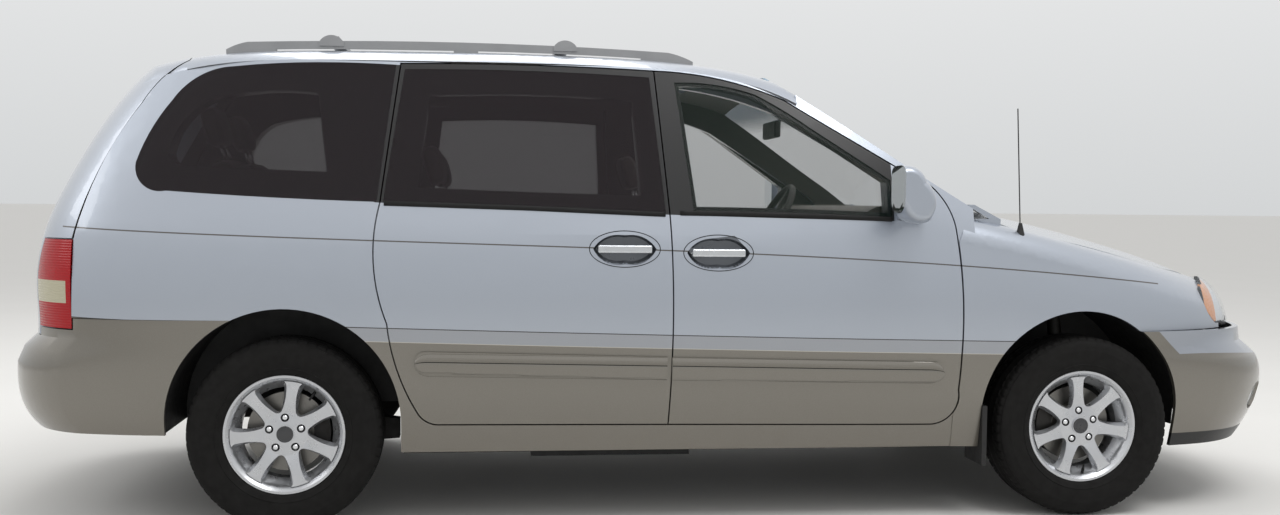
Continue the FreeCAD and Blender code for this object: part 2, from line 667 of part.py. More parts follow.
TAIL_LAMP_TOP_Z = 1008.0
TAIL_LAMP_SIDE = [(-2146, TAIL_LAMP_TOP_Z, "to"), (-2146, 703, "to"), (-2500, 703, "to"),
                  (-2500, TAIL_LAMP_TOP_Z, "to")]
TAILGATE = [(ROOF_REAR_X - PANEL_GAP, 1800, "to"), (ROOF_REAR_X - PANEL_GAP, 1650, "to"),
            (-1868, 1597, "via"), (-1946, 1489, "to"), (-2091, 1209, "via"), (-2147, TAIL_LAMP_TOP_Z + PANEL_GAP, "to"),
            (-2147, 672, "to"), (-2600, 672, "to"), (-2600, 1800, "to")]
TAIL_LAMP_INNER_Y = 712.0
TAIL_LAMP_DEPTH = 80.0


tail_lamp_space = through(TAIL_LAMP_SIDE, RIGHT, TAIL_LAMP_INNER_Y)
tail_lamp = tail_skin(0, TAIL_LAMP_DEPTH).common(tail_lamp_space)
keep("tail_lamps", tail_lamp, mirrored(tail_lamp))
lamp_pocket = through(grown(TAIL_LAMP_SIDE, PANEL_GAP), RIGHT, TAIL_LAMP_INNER_Y - PANEL_GAP)
tailgate = tail_skin(0, 260, back=1300.0).cut(roof_skin(-200, 0))
tailgate = tailgate.cut(tail_skin(TAILGATE_DEPTH, 330, back=1300.0).cut(roof_skin(-200, ROOF_DEPTH)))
tailgate = tailgate.common(through(TAILGATE))
lamp_corner = box(-2600, -2000, -1000, -(TAIL_LAMP_INNER_Y - PANEL_GAP), 600, TAIL_LAMP_TOP_Z + PANEL_GAP)
tailgate = tailgate.cut(lamp_corner).cut(mirrored(lamp_corner))
REAR_WINDOW = [(-590, 1160, "to"), (-575, 1400, "via"), (-520, 1600, "to"), (0, 1618, "via"),
               (520, 1600, "to"), (575, 1400, "via"), (590, 1160, "to"), (0, 1140, "via")]
rear_glass = tail_skin(0, GLASS).common(across_x(REAR_WINDOW, -2500, -1800))
rear_recess = tail_skin(-20, GLASS + SEAT_GAP).common(across_x(grown(REAR_WINDOW, SEAT_GAP), -2500, -1800))
rear_hole = across_x(grown(REAR_WINDOW, -18), -2500, -1800)
tailgate = tailgate.cut(rear_recess).cut(rear_hole)
PLATE_X = -2398.0
PLATE_Z = 850.0
PLATE_HALF_WIDTH = 165.0
PLATE_HALF_HEIGHT = 86.0
PLATE_HOLE_SPACING = 178.0
PLATE_HOLE_RISE = 60.0
PLATE_HOLE_RADIUS = 3.5
plate_seat = box(PLATE_X, -2340, -PLATE_HALF_WIDTH, PLATE_HALF_WIDTH, PLATE_Z - PLATE_HALF_HEIGHT,
                 PLATE_Z + PLATE_HALF_HEIGHT)
tailgate = tailgate.fuse(plate_seat)
for side in (LEFT, RIGHT):
    tailgate = tailgate.cut(rod(PLATE_X - 1, side * PLATE_HOLE_SPACING / 2, PLATE_Z + PLATE_HOLE_RISE,
                                PLATE_HOLE_RADIUS, 26, ALONG))
GARNISH = (-395.0, 395.0, 958.0, 1000.0)
GARNISH_PROUD = 20.0
y0, y1, z0, z1 = GARNISH
garnish_view = [(y0, z0 + 12, "to"), (y0 + 10, z1 - 8, "to"), (0, z1 + 6, "via"), (y1 - 10, z1 - 8, "to"),
                (y1, z0 + 12, "to"), (0, z0, "via")]
garnish = tail_skin(-GARNISH_PROUD, 4, back=1300.0).common(across_x(garnish_view, -2500, -2200))
tailgate = tailgate.fuse(garnish)
keep("tailgate", tailgate)
keep("tailgate_glass", rear_glass)

rear_bumper = rear_bumper_skin(0, BUMPER_DEPTH).cut(wheel_arch(*REAR_ARCH))
rear_bumper = rear_bumper.cut(lamp_pocket).cut(mirrored(lamp_pocket))
rear_bumper = rear_bumper.cut(box(-2600, -2141, -TAIL_LAMP_INNER_Y, TAIL_LAMP_INNER_Y, 667, 800))
for name, side in SIDES:
    rear_bumper = rear_bumper.cut(nodes["body_side_" + name])
keep("rear_bumper", rear_bumper)


# Wheels, drawn about the origin with the outer face towards -Y
# r is the radius and s the distance outwards from the wheel's middle plane

def turned(rows):
    """Revolve of a closed profile of (r, s, kind) rows about the wheel's axle."""
    face = outline(rows)
    face = face.rotated(V(0, 0, 0), ALONG, 90)
    return face.revolve(V(0, 0, 0), ACROSS, 360)


def ring(inner, outer, s0, s1):
    """Ring about the axle between two radii and two distances outwards."""
    solid = rod(0, -s0, 0, outer, s1 - s0, V(0, -1, 0))
    return solid.cut(rod(0, -s0 + 1, 0, inner, s1 - s0 + 2, V(0, -1, 0))) if inner else solid


def polar(radius, degrees):
    angle = math.radians(degrees)
    return radius * math.sin(angle), radius * math.cos(angle)


FLANGE_S = RIM_WIDTH / 2
RIM_PROFILE = [(RIM_RADIUS, FLANGE_S, "to"), (RIM_RADIUS, FLANGE_S - 5, "to"), (BEAD_RADIUS + 1, FLANGE_S - 9, "to"),
               (BEAD_RADIUS, FLANGE_S - 29, "to"), (168, 35, "to"), (168, -10, "to"),
               (BEAD_RADIUS, 29 - FLANGE_S, "to"), (BEAD_RADIUS + 1, 9 - FLANGE_S, "to"),
               (RIM_RADIUS, 5 - FLANGE_S, "to"), (RIM_RADIUS, -FLANGE_S, "to"), (200, -FLANGE_S, "to"),
               (183, -76, "to"), (180, -50, "to"), (160, -14, "to"), (160, 32, "to"), (178, 56, "to"),
               (186, 76, "to"), (199, FLANGE_S, "to")]
DISH_PROFILE = [(0, 70, "to"), (34, 70, "to"), (76, 66, "to"), (130, 76, "via"), (186, 80, "to"),
                (180, 58, "to"), (120, 52, "via"), (78, 42, "to"), (74, HUB_FACE_OFFSET, "to"),
                (0, HUB_FACE_OFFSET, "to")]
WINDOW_INNER = 84.0
WINDOW_OUTER = 176.0
WINDOW_HALF_ANGLE = 15.0
CAP_RADIUS = 31.0
LUG_POCKET_RADIUS = 14.5


def window_rows():
    """Outline of the opening between two spokes, widest near the rim."""
    tip = polar(WINDOW_INNER, 0)
    rows = [(tip[0] - 9, tip[1], "to"), (tip[0], tip[1] - 5, "via"), (tip[0] + 9, tip[1], "to"),
            polar(128, 0.93 * WINDOW_HALF_ANGLE) + ("via",), polar(164, WINDOW_HALF_ANGLE) + ("to",),
            polar(WINDOW_OUTER - 1, WINDOW_HALF_ANGLE - 2) + ("via",),
            polar(WINDOW_OUTER, WINDOW_HALF_ANGLE - 5) + ("to",), polar(WINDOW_OUTER + 1, 0) + ("via",),
            polar(WINDOW_OUTER, 5 - WINDOW_HALF_ANGLE) + ("to",),
            polar(WINDOW_OUTER - 1, 2 - WINDOW_HALF_ANGLE) + ("via",),
            polar(164, -WINDOW_HALF_ANGLE) + ("to",), polar(128, -0.93 * WINDOW_HALF_ANGLE) + ("via",)]
    return rows


BEVEL_GROWTH = 17.0
BEVEL_SHIFT = 6.0
BEVEL_FRONT_S = 90.0
BEVEL_BACK_S = 57.0


def spoke_window():
    """Opening between two spokes, with its bevelled edge."""
    rows = window_rows()
    front = outline(grown(rows, BEVEL_GROWTH)).OuterWire.translated(V(0, -BEVEL_FRONT_S, BEVEL_SHIFT))
    back = outline(rows).OuterWire.translated(V(0, -BEVEL_BACK_S, 0))
    return through(rows, 0, 0, 200).fuse(loft([front, back], True))


rim = turned(RIM_PROFILE)
dish = turned(DISH_PROFILE)
window = spoke_window()
for i in range(SPOKE_COUNT):
    dish = dish.cut(window.rotated(V(0, 0, 0), ACROSS, (i + 0.5) * 360 / SPOKE_COUNT))
for i in range(LUG_COUNT):
    x, z = polar(LUG_CIRCLE_RADIUS, i * 360 / LUG_COUNT)
    dish = dish.cut(rod(x, -120, z, LUG_POCKET_RADIUS, 120 - HUB_FACE_OFFSET - 14, ACROSS))
rim = rim.fuse(dish).fuse(ring(0, CAP_RADIUS, 60, 76))
# How far each axle's wheels stand turned at rest
WHEEL_TURN = {"front": -5.0, "rear": -145.0}
TYRE_SIDE = TYRE_WIDTH / 2
BEAD_GAP = 0.3
TYRE_HALF = [(TYRE_RADIUS - 5, 0.82 * TYRE_SIDE, "to"), (TYRE_RADIUS - 14, 0.95 * TYRE_SIDE, "via"),
             (TYRE_RADIUS - 32, 0.98 * TYRE_SIDE, "to"), (266, TYRE_SIDE, "via"), (226, 0.94 * TYRE_SIDE, "to"),
             (214, 94, "via"), (RIM_RADIUS + 1, FLANGE_S + 0.5, "to"), (RIM_RADIUS + 1, FLANGE_S - 5.5, "to"),
             (BEAD_RADIUS + 1.6, FLANGE_S - 9.6, "to"), (BEAD_RADIUS + BEAD_GAP, FLANGE_S - 28, "to"),
             (204, FLANGE_S - 30, "to"), (262, 92, "via"), (310, 86, "to"), (320, 70, "to")]
TYRE_PROFILE = TYRE_HALF + [(r, -s, kind) for r, s, kind in reversed(TYRE_HALF)]
TYRE_PROFILE = TYRE_PROFILE + [(TYRE_RADIUS, 0, "via")]
tyre = turned(TYRE_PROFILE)
ROTOR_FACE = 4.0
HAT_RADIUS = 78.0
disc = turned([(0, HUB_FACE_OFFSET, "to"), (HAT_RADIUS, HUB_FACE_OFFSET, "to"), (HAT_RADIUS, ROTOR_FACE, "to"),
               (DISC_RADIUS, ROTOR_FACE, "to"), (DISC_RADIUS, ROTOR_FACE - DISC_THICKNESS, "to"),
               (HAT_RADIUS - HAT_WALL, ROTOR_FACE - DISC_THICKNESS, "to"),
               (HAT_RADIUS - HAT_WALL, HUB_FACE_OFFSET - HAT_WALL, "to"), (0, HUB_FACE_OFFSET - HAT_WALL, "to")])
AXLES = (("front", FRONT_AXLE_X), ("rear", REAR_AXLE_X))
for end, x in AXLES:
    for name, side in SIDES:
        for kind, shape in (("tyre", tyre), ("rim", rim), ("brake_disc", disc)):
            if kind == "rim":
                shape = shape.rotated(V(0, 0, 0), ACROSS, WHEEL_TURN[end])
            placed = shape.translated(V(x, -WHEEL_CENTRE_Y, TYRE_RADIUS))
            keep(kind + "_" + end + "_" + name, on_side(placed, side))

# Knuckles, calipers and axles

HOUSING_RADIUS = 52.0
CALIPER_INNER = 94.0
CALIPER_OUTER = 152.0
BALL_JOINT = V(FRONT_AXLE_X, -742, 212)
STRUT_TOP = V(FRONT_AXLE_X, -612, 800)
STRUT_RADIUS = 26.0


def stub(x, inner_s):
    """Hub housing and spindle that end inside the brake disc's hat."""
    shape = ring(0, HOUSING_RADIUS, inner_s, ROTOR_FACE - DISC_THICKNESS - 8)
    shape = shape.fuse(ring(0, SPINDLE_RADIUS, inner_s, HUB_FACE_OFFSET - HAT_WALL - SEAT_GAP))
    return shape.translated(V(x, -WHEEL_CENTRE_Y, TYRE_RADIUS))


def caliper(x, facing):
    """Brake caliper astride the disc, on the side of the axle given by facing."""
    body = ring(CALIPER_INNER, CALIPER_OUTER, -48, 26)
    body = body.cut(ring(60, DISC_RADIUS + 5, ROTOR_FACE - DISC_THICKNESS - 5, ROTOR_FACE + 5))
    bracket = ring(HOUSING_RADIUS - 6, CALIPER_INNER + 4, -48, -30)
    wedge_rows = [(0, 0, "to"), polar(220, 62) + ("to",), polar(220, 118) + ("to",)]
    wedge = through(wedge_rows, 0, 0, 200)
    shape = body.fuse(bracket).common(wedge)
    if facing < 0:
        shape = shape.mirror(V(0, 0, 0), ALONG)
    return shape.translated(V(x, -WHEEL_CENTRE_Y, TYRE_RADIUS))


def bar(a, b, radius):
    """Round bar between two points."""
    return Part.makeCylinder(radius, (b - a).Length, a, b - a)


knuckle = stub(FRONT_AXLE_X, -120).fuse(caliper(FRONT_AXLE_X, -1))
strut_foot = BALL_JOINT + (STRUT_TOP - BALL_JOINT) * 0.42
knuckle = knuckle.fuse(bar(strut_foot, STRUT_TOP, STRUT_RADIUS))
knuckle = knuckle.fuse(box(FRONT_AXLE_X - 26, FRONT_AXLE_X + 26, -716, -662, 256, strut_foot.z + 40))
ball_pin = BALL_JOINT + V(0, 0, 14)
knuckle = knuckle.fuse(bar(ball_pin, BALL_JOINT + V(0, 22, 90), 16))
steering_arm = bar(V(FRONT_AXLE_X, -700, 300), V(FRONT_AXLE_X - 130, -690, 290), 13)
knuckle = knuckle.fuse(steering_arm)
for name, side in SIDES:
    keep("knuckle_" + name, on_side(knuckle, side))

BEAM_X = REAR_AXLE_X + 150
rear_side = stub(REAR_AXLE_X, -150).fuse(caliper(REAR_AXLE_X, 1))
ARM_END_X = REAR_FLOOR_FRONT_X - FLOOR_DEPTH - SEAT_GAP
arm_rows = [(REAR_AXLE_X - 60, 250, "to"), (REAR_AXLE_X - 60, 400, "to"), (REAR_AXLE_X + 60, 400, "to"),
            (ARM_END_X, 350, "to"), (ARM_END_X, 280, "to"), (REAR_AXLE_X + 60, 260, "to")]
rear_side = rear_side.fuse(through(arm_rows, RIGHT, 605, 665))
rear_axle = rear_side.fuse(mirrored(rear_side))
rear_axle = rear_axle.fuse(bar(V(BEAM_X, -640, 320), V(BEAM_X, 640, 320), 38))
keep("rear_axle", rear_axle)


# Wheel wells, floor and firewall

def well(x, z, radius, inner_y, outer_y, rear_drop, front_drop):
    """Liner of a wheel arch on the right side: a half round shell with straight legs and an inner wall."""
    def shape(r, y0, y1, low):
        rows = [(x - r, z, "to"), (x, z + r, "via"), (x + r, z, "to"), (x + r, low, "to"), (x - r, low, "to")]
        return through(rows, RIGHT, y0, y1)
    low = min(rear_drop, front_drop)
    shell = shape(radius + LINER_DEPTH, inner_y - LINER_DEPTH, outer_y, low)
    shell = shell.cut(shape(radius, inner_y, outer_y + 10, low - 10))
    if rear_drop > low:
        shell = shell.cut(box(x - radius - 20, x, -outer_y - 10, -inner_y + 40, low - 20, rear_drop))
    if front_drop > low:
        shell = shell.cut(box(x, x + radius + 20, -outer_y - 10, -inner_y + 40, low - 20, front_drop))
    return shell


LINER_INSET = 4.0
EDGE_REACH = 60.0
front_liner = well(FRONT_ARCH_X, FRONT_ARCH_Z, FRONT_ARCH_RADIUS + STEER_ROOM, WELL_INNER_Y, 935, 330, 330)
front_liner = front_liner.cut(body_side).cut(fender).cut(front_bumper)
# No liner stands out past the panels round it
front_liner = front_liner.cut(front_bumper_skin(-EDGE_REACH, LINER_INSET)).cut(fender_skin(-EDGE_REACH, LINER_INSET))
front_liner = front_liner.cut(side_skin(-EDGE_REACH, LINER_INSET))
strut_hole = bar(STRUT_TOP - (STRUT_TOP - BALL_JOINT) * 0.5, STRUT_TOP + (STRUT_TOP - BALL_JOINT) * 0.1, 60)
axle_slot = box(FRONT_AXLE_X - 180, FRONT_AXLE_X + 70, -WELL_INNER_Y - 20, -WELL_INNER_Y + 20, 200, 400)
front_liner = main_solid(front_liner.cut(axle_slot).cut(strut_hole))
rear_liner = well(REAR_AXLE_X, REAR_ARCH_Z, REAR_ARCH_RADIUS, REAR_WELL_INNER_Y, 935, 345, 300)
rear_liner = rear_liner.cut(body_side).cut(rear_bumper)
rear_liner = rear_liner.cut(side_skin(-EDGE_REACH, LINER_INSET)).cut(rear_bumper_skin(-EDGE_REACH, LINER_INSET))
rear_liner = main_solid(rear_liner.cut(box(BEAM_X - 60, REAR_AXLE_X + 480, -700, -540, 200, 400)))
keep("wheel_arch_liners", front_liner, mirrored(front_liner), rear_liner, mirrored(rear_liner))

CABIN_HALF = 860.0
floor = box(REAR_FLOOR_FRONT_X, FIREWALL_X, -CABIN_HALF, CABIN_HALF, FLOOR_Z - FLOOR_DEPTH, FLOOR_Z)
floor = floor.fuse(box(FIREWALL_X - 20, FIREWALL_X, -CABIN_HALF, CABIN_HALF, FLOOR_Z - FLOOR_DEPTH, 1085))
floor = floor.fuse(box(REAR_FLOOR_FRONT_X - FLOOR_DEPTH, REAR_FLOOR_FRONT_X, -CABIN_HALF, CABIN_HALF,
                       FLOOR_Z - FLOOR_DEPTH, REAR_FLOOR_Z))
floor = floor.fuse(box(REAR_PANEL_X, REAR_FLOOR_FRONT_X, -CABIN_HALF, CABIN_HALF, REAR_FLOOR_Z - FLOOR_DEPTH,
                       REAR_FLOOR_Z))
back = box(REAR_PANEL_X, REAR_PANEL_X + 30, -620, 620, REAR_FLOOR_Z, 660)
rear_wall = box(REAR_PANEL_X, -1800, -CABIN_HALF, -CABIN_HALF + 25, REAR_FLOOR_Z, 741)
floor = floor.fuse(back).fuse(rear_wall).fuse(mirrored(rear_wall))
for side in (LEFT, RIGHT):
    floor = floor.cut(wheel_arch(REAR_AXLE_X, REAR_ARCH_Z, REAR_ARCH_RADIUS + LINER_DEPTH, side,
                                 REAR_WELL_INNER_Y - LINER_DEPTH))
    floor = floor.cut(on_side(body_side, side))
floor = floor.cut(rear_bumper).cut(tail_skin(-100, TAILGATE_DEPTH + PANEL_GAP))
floor = floor.cut(tail_lamp).cut(mirrored(tail_lamp))
for side in (LEFT, RIGHT):
    stop = rod(REAR_PANEL_X + 1, side * 300, 640, 16, 60, V(-1, 0, 0))
    floor = floor.fuse(stop.cut(tail_skin(-100, TAILGATE_DEPTH + SEAT_GAP)))
keep("floor_pan", main_solid(floor))

cowl = box(FIREWALL_X, HOOD_REAR_X, -850, 850, 1080, 1107.7)
COWL_CORNER = [(1041, 1160, "to"), (1062, 1160, "to"), (1163, 1108, "to"), (1163, 1090, "to"), (1041, 1090, "to")]
cowl_corner = through(COWL_CORNER, RIGHT, 745, 850).cut(screen_skin(-SEAT_GAP, 90))
cowl = cowl.fuse(cowl_corner).fuse(mirrored(cowl_corner))
cowl = cowl.cut(hood_plan(HOOD_FRONT_X, HOOD_REAR_X - PANEL_GAP)).cut(fender).cut(mirrored(fender))
cowl = cowl.cut(body_side).cut(mirrored(body_side))
keep("cowl", main_solid(cowl))

# Engine, subframe and what hangs below the floor

ENGINE_HALF_WIDTH = 350.0
keep("engine_block", box(1300, 1800, -ENGINE_HALF_WIDTH, ENGINE_HALF_WIDTH, 330, 850))
RAIL_Y = 400.0
subframe = None
for side in (LEFT, RIGHT):
    y0, y1 = sorted((side * (RAIL_Y - 30), side * (RAIL_Y + 30)))
    rail = box(FIREWALL_X, 2290, y0, y1, 430, 520)
    leg = box(1240, 1300, y0, y1, 250, 430)
    subframe = rail if subframe is None else subframe.fuse(rail)
    subframe = subframe.fuse(leg)
subframe = subframe.fuse(box(1200, 1900, -RAIL_Y, RAIL_Y, 250, 320).cut(box(1300, 1800, -300, 300, 240, 330)))
subframe = subframe.fuse(box(1840, 1900, -RAIL_Y - 30, RAIL_Y + 30, 250, 430))
FOG_LAMP_ROOM = 12.0
beam_half = -fog_y - fog_radius - FOG_LAMP_ROOM
subframe = subframe.fuse(box(2240, 2290, -beam_half, beam_half, 430, 540))
arm_foot = V(FRONT_AXLE_X, -RAIL_Y + 20, 285)
arm_end = BALL_JOINT + V(0, 0, -8)
lower_arm = bar(arm_foot + V(-150, 0, 0), arm_end, 16).fuse(bar(arm_foot + V(60, 0, 0), arm_end, 16))
lower_arm = lower_arm.fuse(Part.makeCylinder(24, 22, arm_end + V(0, 0, -8.3)))
lower_arm = lower_arm.cut(box(FRONT_AXLE_X - 60, FRONT_AXLE_X + 60, -790, -700, arm_end.z + 13.7, 400))
subframe = subframe.fuse(lower_arm).fuse(mirrored(lower_arm))
subframe = subframe.cut(nodes["engine_block"])
keep("front_subframe", subframe)

PIPE_RADIUS = 26.0
MUFFLER = (-1050.0, -620.0, 110.0, 300.0)
x0, x1, y0, y1 = MUFFLER
muffler = box(x0, x1, y0, y1, 172, FLOOR_Z - FLOOR_DEPTH - SEAT_GAP)
exhaust = muffler.fuse(bar(V(x1 - 5, 200, 215), V(1180, 200, 215), PIPE_RADIUS))
keep("exhaust", exhaust)
keep("fuel_tank", box(-560, 60, -480, 60, 170, 259.7))

# Roof rack

RAIL_X0 = -1676.0
RAIL_X1 = 35.0
RACK_Y = 598.0


RAIL_WIDTH = 34.0
RAIL_RISE = 27.0
RAIL_CLEAR = 9.0
RAIL_FOOT_X = (-1600.0, -1500.0, -860.0, -770.0, -160.0, -60.0)


def rack_base(x):
    """Height of the roof's surface below the rail."""
    return ROOF_Z(x) - 0.30 * (ROOF_Z(x) - SEAM_Z(x))


def rack_rail():
    """Right roof rail: a low arch on three feet, with tapered ends."""
    first, _, middle, _, _, last = RAIL_FOOT_X
    tops = []
    for x, rise in ((RAIL_X0, 4), (0.5 * (RAIL_X0 + first), 19), (first, RAIL_RISE), (middle, RAIL_RISE),
                    (last, RAIL_RISE), (0.5 * (RAIL_X1 + last), 19), (RAIL_X1, 4)):
        tops.append(V(x, 0, rack_base(x) + rise))
    ends = [V(tops[6].x, 0, tops[6].z - 60), V(tops[0].x, 0, tops[0].z - 60)]
    edges = [arc(*tops[0:3]), arc(*tops[2:5]), arc(*tops[4:7])]
    edges += [line(tops[6], ends[0]), line(ends[0], ends[1]), line(ends[1], tops[0])]
    face = Part.Face(Part.Wire(edges)).translated(V(0, -RACK_Y - RAIL_WIDTH / 2, 0))
    rail = face.extrude(V(0, RAIL_WIDTH, 0))
    for i in (1, 3):
        gap = box(RAIL_FOOT_X[i], RAIL_FOOT_X[i + 1], -700, -500, 1400, 1900)
        rail = rail.cut(roof_skin(-RAIL_CLEAR, 400).common(gap))
    return main_solid(rail.cut(roof_skin(-0.3, 400)))


rail = rack_rail()
rack = [rail, mirrored(rail)]
CROSSBARS = (-1302.0, -448.0)
CROSSBAR_HALF = 24.0
CROSSBAR_END_HALF = 44.0
crossbars = []
for x in CROSSBARS:
    top = rack_base(x) + RAIL_RISE + 14
    bar_solid = box(x - CROSSBAR_HALF, x + CROSSBAR_HALF, -RACK_Y, RACK_Y, ROOF_Z(x) + 6, ROOF_Z(x) + 22)
    end_rows = [(x - CROSSBAR_END_HALF, top - 20, "to"), (x, top + 6, "via"), (x + CROSSBAR_END_HALF, top - 20, "to"),
                (x + CROSSBAR_END_HALF, top - 34, "to"), (x - CROSSBAR_END_HALF, top - 34, "to")]
    for side in (LEFT, RIGHT):
        bar_solid = bar_solid.fuse(through(end_rows, side, RACK_Y - 36, RACK_Y + 24))
    crossbars.append(main_solid(bar_solid.cut(rail).cut(mirrored(rail)).cut(roof_skin(-3, 400))))
keep("roof_rack", *(rack + crossbars))

# Door mirrors, handles, aerial, wipers and small outside pieces

MIRROR_FACE_X = 704.0
MIRROR_HOUSING = [(680, 1284, "to"), (745, 1290, "via"), (790, 1241, "to"), (826, 1170, "via"), (800, 1098, "to"),
                  (755, 1092, "via"), (700, 1140, "to"), (668, 1215, "via")]
# y, how far the outline is drawn in
MIRROR_SECTIONS = ((-972, 26), (-984, 8), (-1020, 0), (-1090, 0), (-1120, 10), (-1132, 28))
mirror = loft([outline(grown(MIRROR_HOUSING, -inset)).OuterWire.translated(V(0, y, 0))
               for y, inset in MIRROR_SECTIONS])
mirror = mirror.cut(box(600, MIRROR_FACE_X, -1200, -900, 1000, 1400))
foot = box(745, 850, -985, -(side_y(780, 1180) - 30), 1100, 1165)
mirror = mirror.fuse(foot).cut(front_door).cut(front_glass)
for name, side in SIDES:
    keep("door_mirror_" + name, on_side(mirror, side))

ANTENNA_X = 1232.0
antenna_base_z = hood_z(ANTENNA_X, 800) - 25
antenna_y = -(side_y(ANTENNA_X, 1040) - 38)
mast = bar(V(ANTENNA_X, antenna_y, antenna_base_z), V(ANTENNA_X - 18, antenna_y + 4, 1517), 2.2)
base = Part.makeCone(17, 6, 48, V(ANTENNA_X, antenna_y, antenna_base_z - 8))
antenna = main_solid(mast.fuse(base).cut(fender))
keep("antenna", antenna)

wipers = []
for foot_y, tip_y in ((330, -230), (-220, -700)):
    points = []
    for y, z in ((foot_y, 1118), (tip_y, 1150)):
        points.append(V(SCREEN_X(z) - y * y / SCREEN_SAG + 26, y, z))
    arm = bar(points[0], points[1], 7)
    post = rod(points[0].x, foot_y, 1107.7, 14, 16, UP)
    wipers.append(arm.fuse(post).cut(screen_skin(-3, 60)).cut(cowl))
keep("wipers", *wipers)

flap = box(1078, 1096, -930, -760, 200, 420).cut(front_liner).cut(fender).cut(body_side)
keep("mud_flaps", flap, mirrored(flap))

# Cabin

FRONT_SEAT_Y = 390.0


def rounded(x0, x1, y0, y1, z0, z1, radius):
    block = box(x0, x1, y0, y1, z0, z1)
    return block.makeFillet(radius, block.Edges)


def seat(x, y, width, floor_z):
    """Seat with its base, cushion, backrest and head restraint, its back at x."""
    half = width / 2
    base = box(x + 60, x + 440, y - half + 40, y + half - 40, floor_z, floor_z + 160)
    cushion = rounded(x + 20, x + 500, y - half, y + half, floor_z + 150, floor_z + 300, 30)
    backrest = rounded(0, 110, y - half, y + half, 0, 620, 30).rotated(V(0, y, 0), ACROSS, -16)
    backrest = backrest.translated(V(x + 20, 0, floor_z + 260))
    head = rounded(0, 80, y - 140, y + 140, 665, 830, 26).rotated(V(0, y, 0), ACROSS, -16)
    head = head.translated(V(x + 30, 0, floor_z + 260))
    posts = []
    for dy in (-60, 60):
        post = rod(45, y + dy, 600, 7, 90, UP).rotated(V(0, y, 0), ACROSS, -16)
        posts.append(post.translated(V(x + 30, 0, floor_z + 260)))
    return base.fuse([cushion, backrest, head] + posts)


front_seats = [seat(40, side * FRONT_SEAT_Y, 520, FLOOR_Z) for side in (LEFT, RIGHT)]
keep("front_seats", *front_seats)
second_row = [seat(-800, side * FRONT_SEAT_Y, 500, FLOOR_Z) for side in (LEFT, RIGHT)]
keep("second_row_seats", *second_row)
bench = [seat(-1640, side * 262, 500, REAR_FLOOR_Z) for side in (LEFT, RIGHT)]
keep("third_row_bench", *bench)

DASH = [(640, 760, "to"), (615, 930, "via"), (640, 1050, "to"), (690, 1130, "via"), (770, 1152, "to"),
        (880, 1150, "via"), (FIREWALL_X - 20, 1130, "to"), (FIREWALL_X - 20, 700, "to")]
dash = through(DASH, 0, 0, 730)
STEERING_CENTRE = V(565, 380, 1071)
STEERING_AXIS = V(math.cos(math.radians(30)), 0, -math.sin(math.radians(30)))
STEERING_RADIUS = 188.0
steering = Part.makeTorus(STEERING_RADIUS, 15).fuse(Part.makeCylinder(55, 44, V(0, 0, -12)))
for angle in (0, 90, 180):
    spoke = box(40, STEERING_RADIUS, -15, 15, -7, 9).rotated(V(0, 0, 0), UP, angle - 180)
    steering = steering.fuse(spoke)
turn = FreeCAD.Rotation(V(0, 0, 1), STEERING_AXIS)
steering.Placement = FreeCAD.Placement(STEERING_CENTRE, turn)
keep("steering_wheel", steering)
column = bar(STEERING_CENTRE + STEERING_AXIS * 32.3, STEERING_CENTRE + STEERING_AXIS * 170, 30)
keep("dashboard", dash.fuse(column))
MIRROR_Z = 1475.0
mirror_x = SCREEN_X(1540) - 8
inner_mirror = rounded(mirror_x - 62, mirror_x - 34, -120, 120, MIRROR_Z - 38, MIRROR_Z + 34, 10)
inner_mirror = inner_mirror.fuse(bar(V(mirror_x - 46, 0, MIRROR_Z + 10), V(mirror_x + 20, 0, 1545), 8))
inner_mirror = inner_mirror.cut(screen_skin(-60, GLASS + SEAT_GAP))
keep("interior_mirror", inner_mirror)

if __name__ == "__main__":
    os.makedirs("parts", exist_ok=True)
    for name, shape in nodes.items():
        shape.exportStep("parts/" + name + ".step")
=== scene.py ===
"""Family van in two-tone enamel: the dressed model round its fixed CAD frame.

Metres, +X forward, +Y to the left, +Z up, the same frame as the CAD.
"""
import math

import bmesh
import bpy
import numpy as np
from mathutils import Matrix, Vector
from mathutils.bvhtree import BVHTree


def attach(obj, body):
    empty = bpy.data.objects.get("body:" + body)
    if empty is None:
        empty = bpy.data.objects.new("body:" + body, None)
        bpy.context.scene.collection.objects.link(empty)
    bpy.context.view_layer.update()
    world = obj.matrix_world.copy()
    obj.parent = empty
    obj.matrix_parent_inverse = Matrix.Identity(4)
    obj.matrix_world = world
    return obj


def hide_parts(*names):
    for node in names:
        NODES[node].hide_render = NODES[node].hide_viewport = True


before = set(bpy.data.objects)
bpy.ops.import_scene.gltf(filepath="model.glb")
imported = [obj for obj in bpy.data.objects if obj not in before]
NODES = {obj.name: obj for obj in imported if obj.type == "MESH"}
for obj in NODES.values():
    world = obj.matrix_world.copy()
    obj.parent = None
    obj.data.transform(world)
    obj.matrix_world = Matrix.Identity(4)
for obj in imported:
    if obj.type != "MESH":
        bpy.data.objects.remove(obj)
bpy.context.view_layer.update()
SIDES = (("left", 1), ("right", -1))

# Camera

LENS_MM = 36.5625
SENSOR_MM = 36.0
EYE = Vector((-0.756, -5.496, 1.146))
YAW, PITCH, ROLL = (math.radians(a) for a in (6.98, -2.31, 0.59))
CLIP_END = 900.0


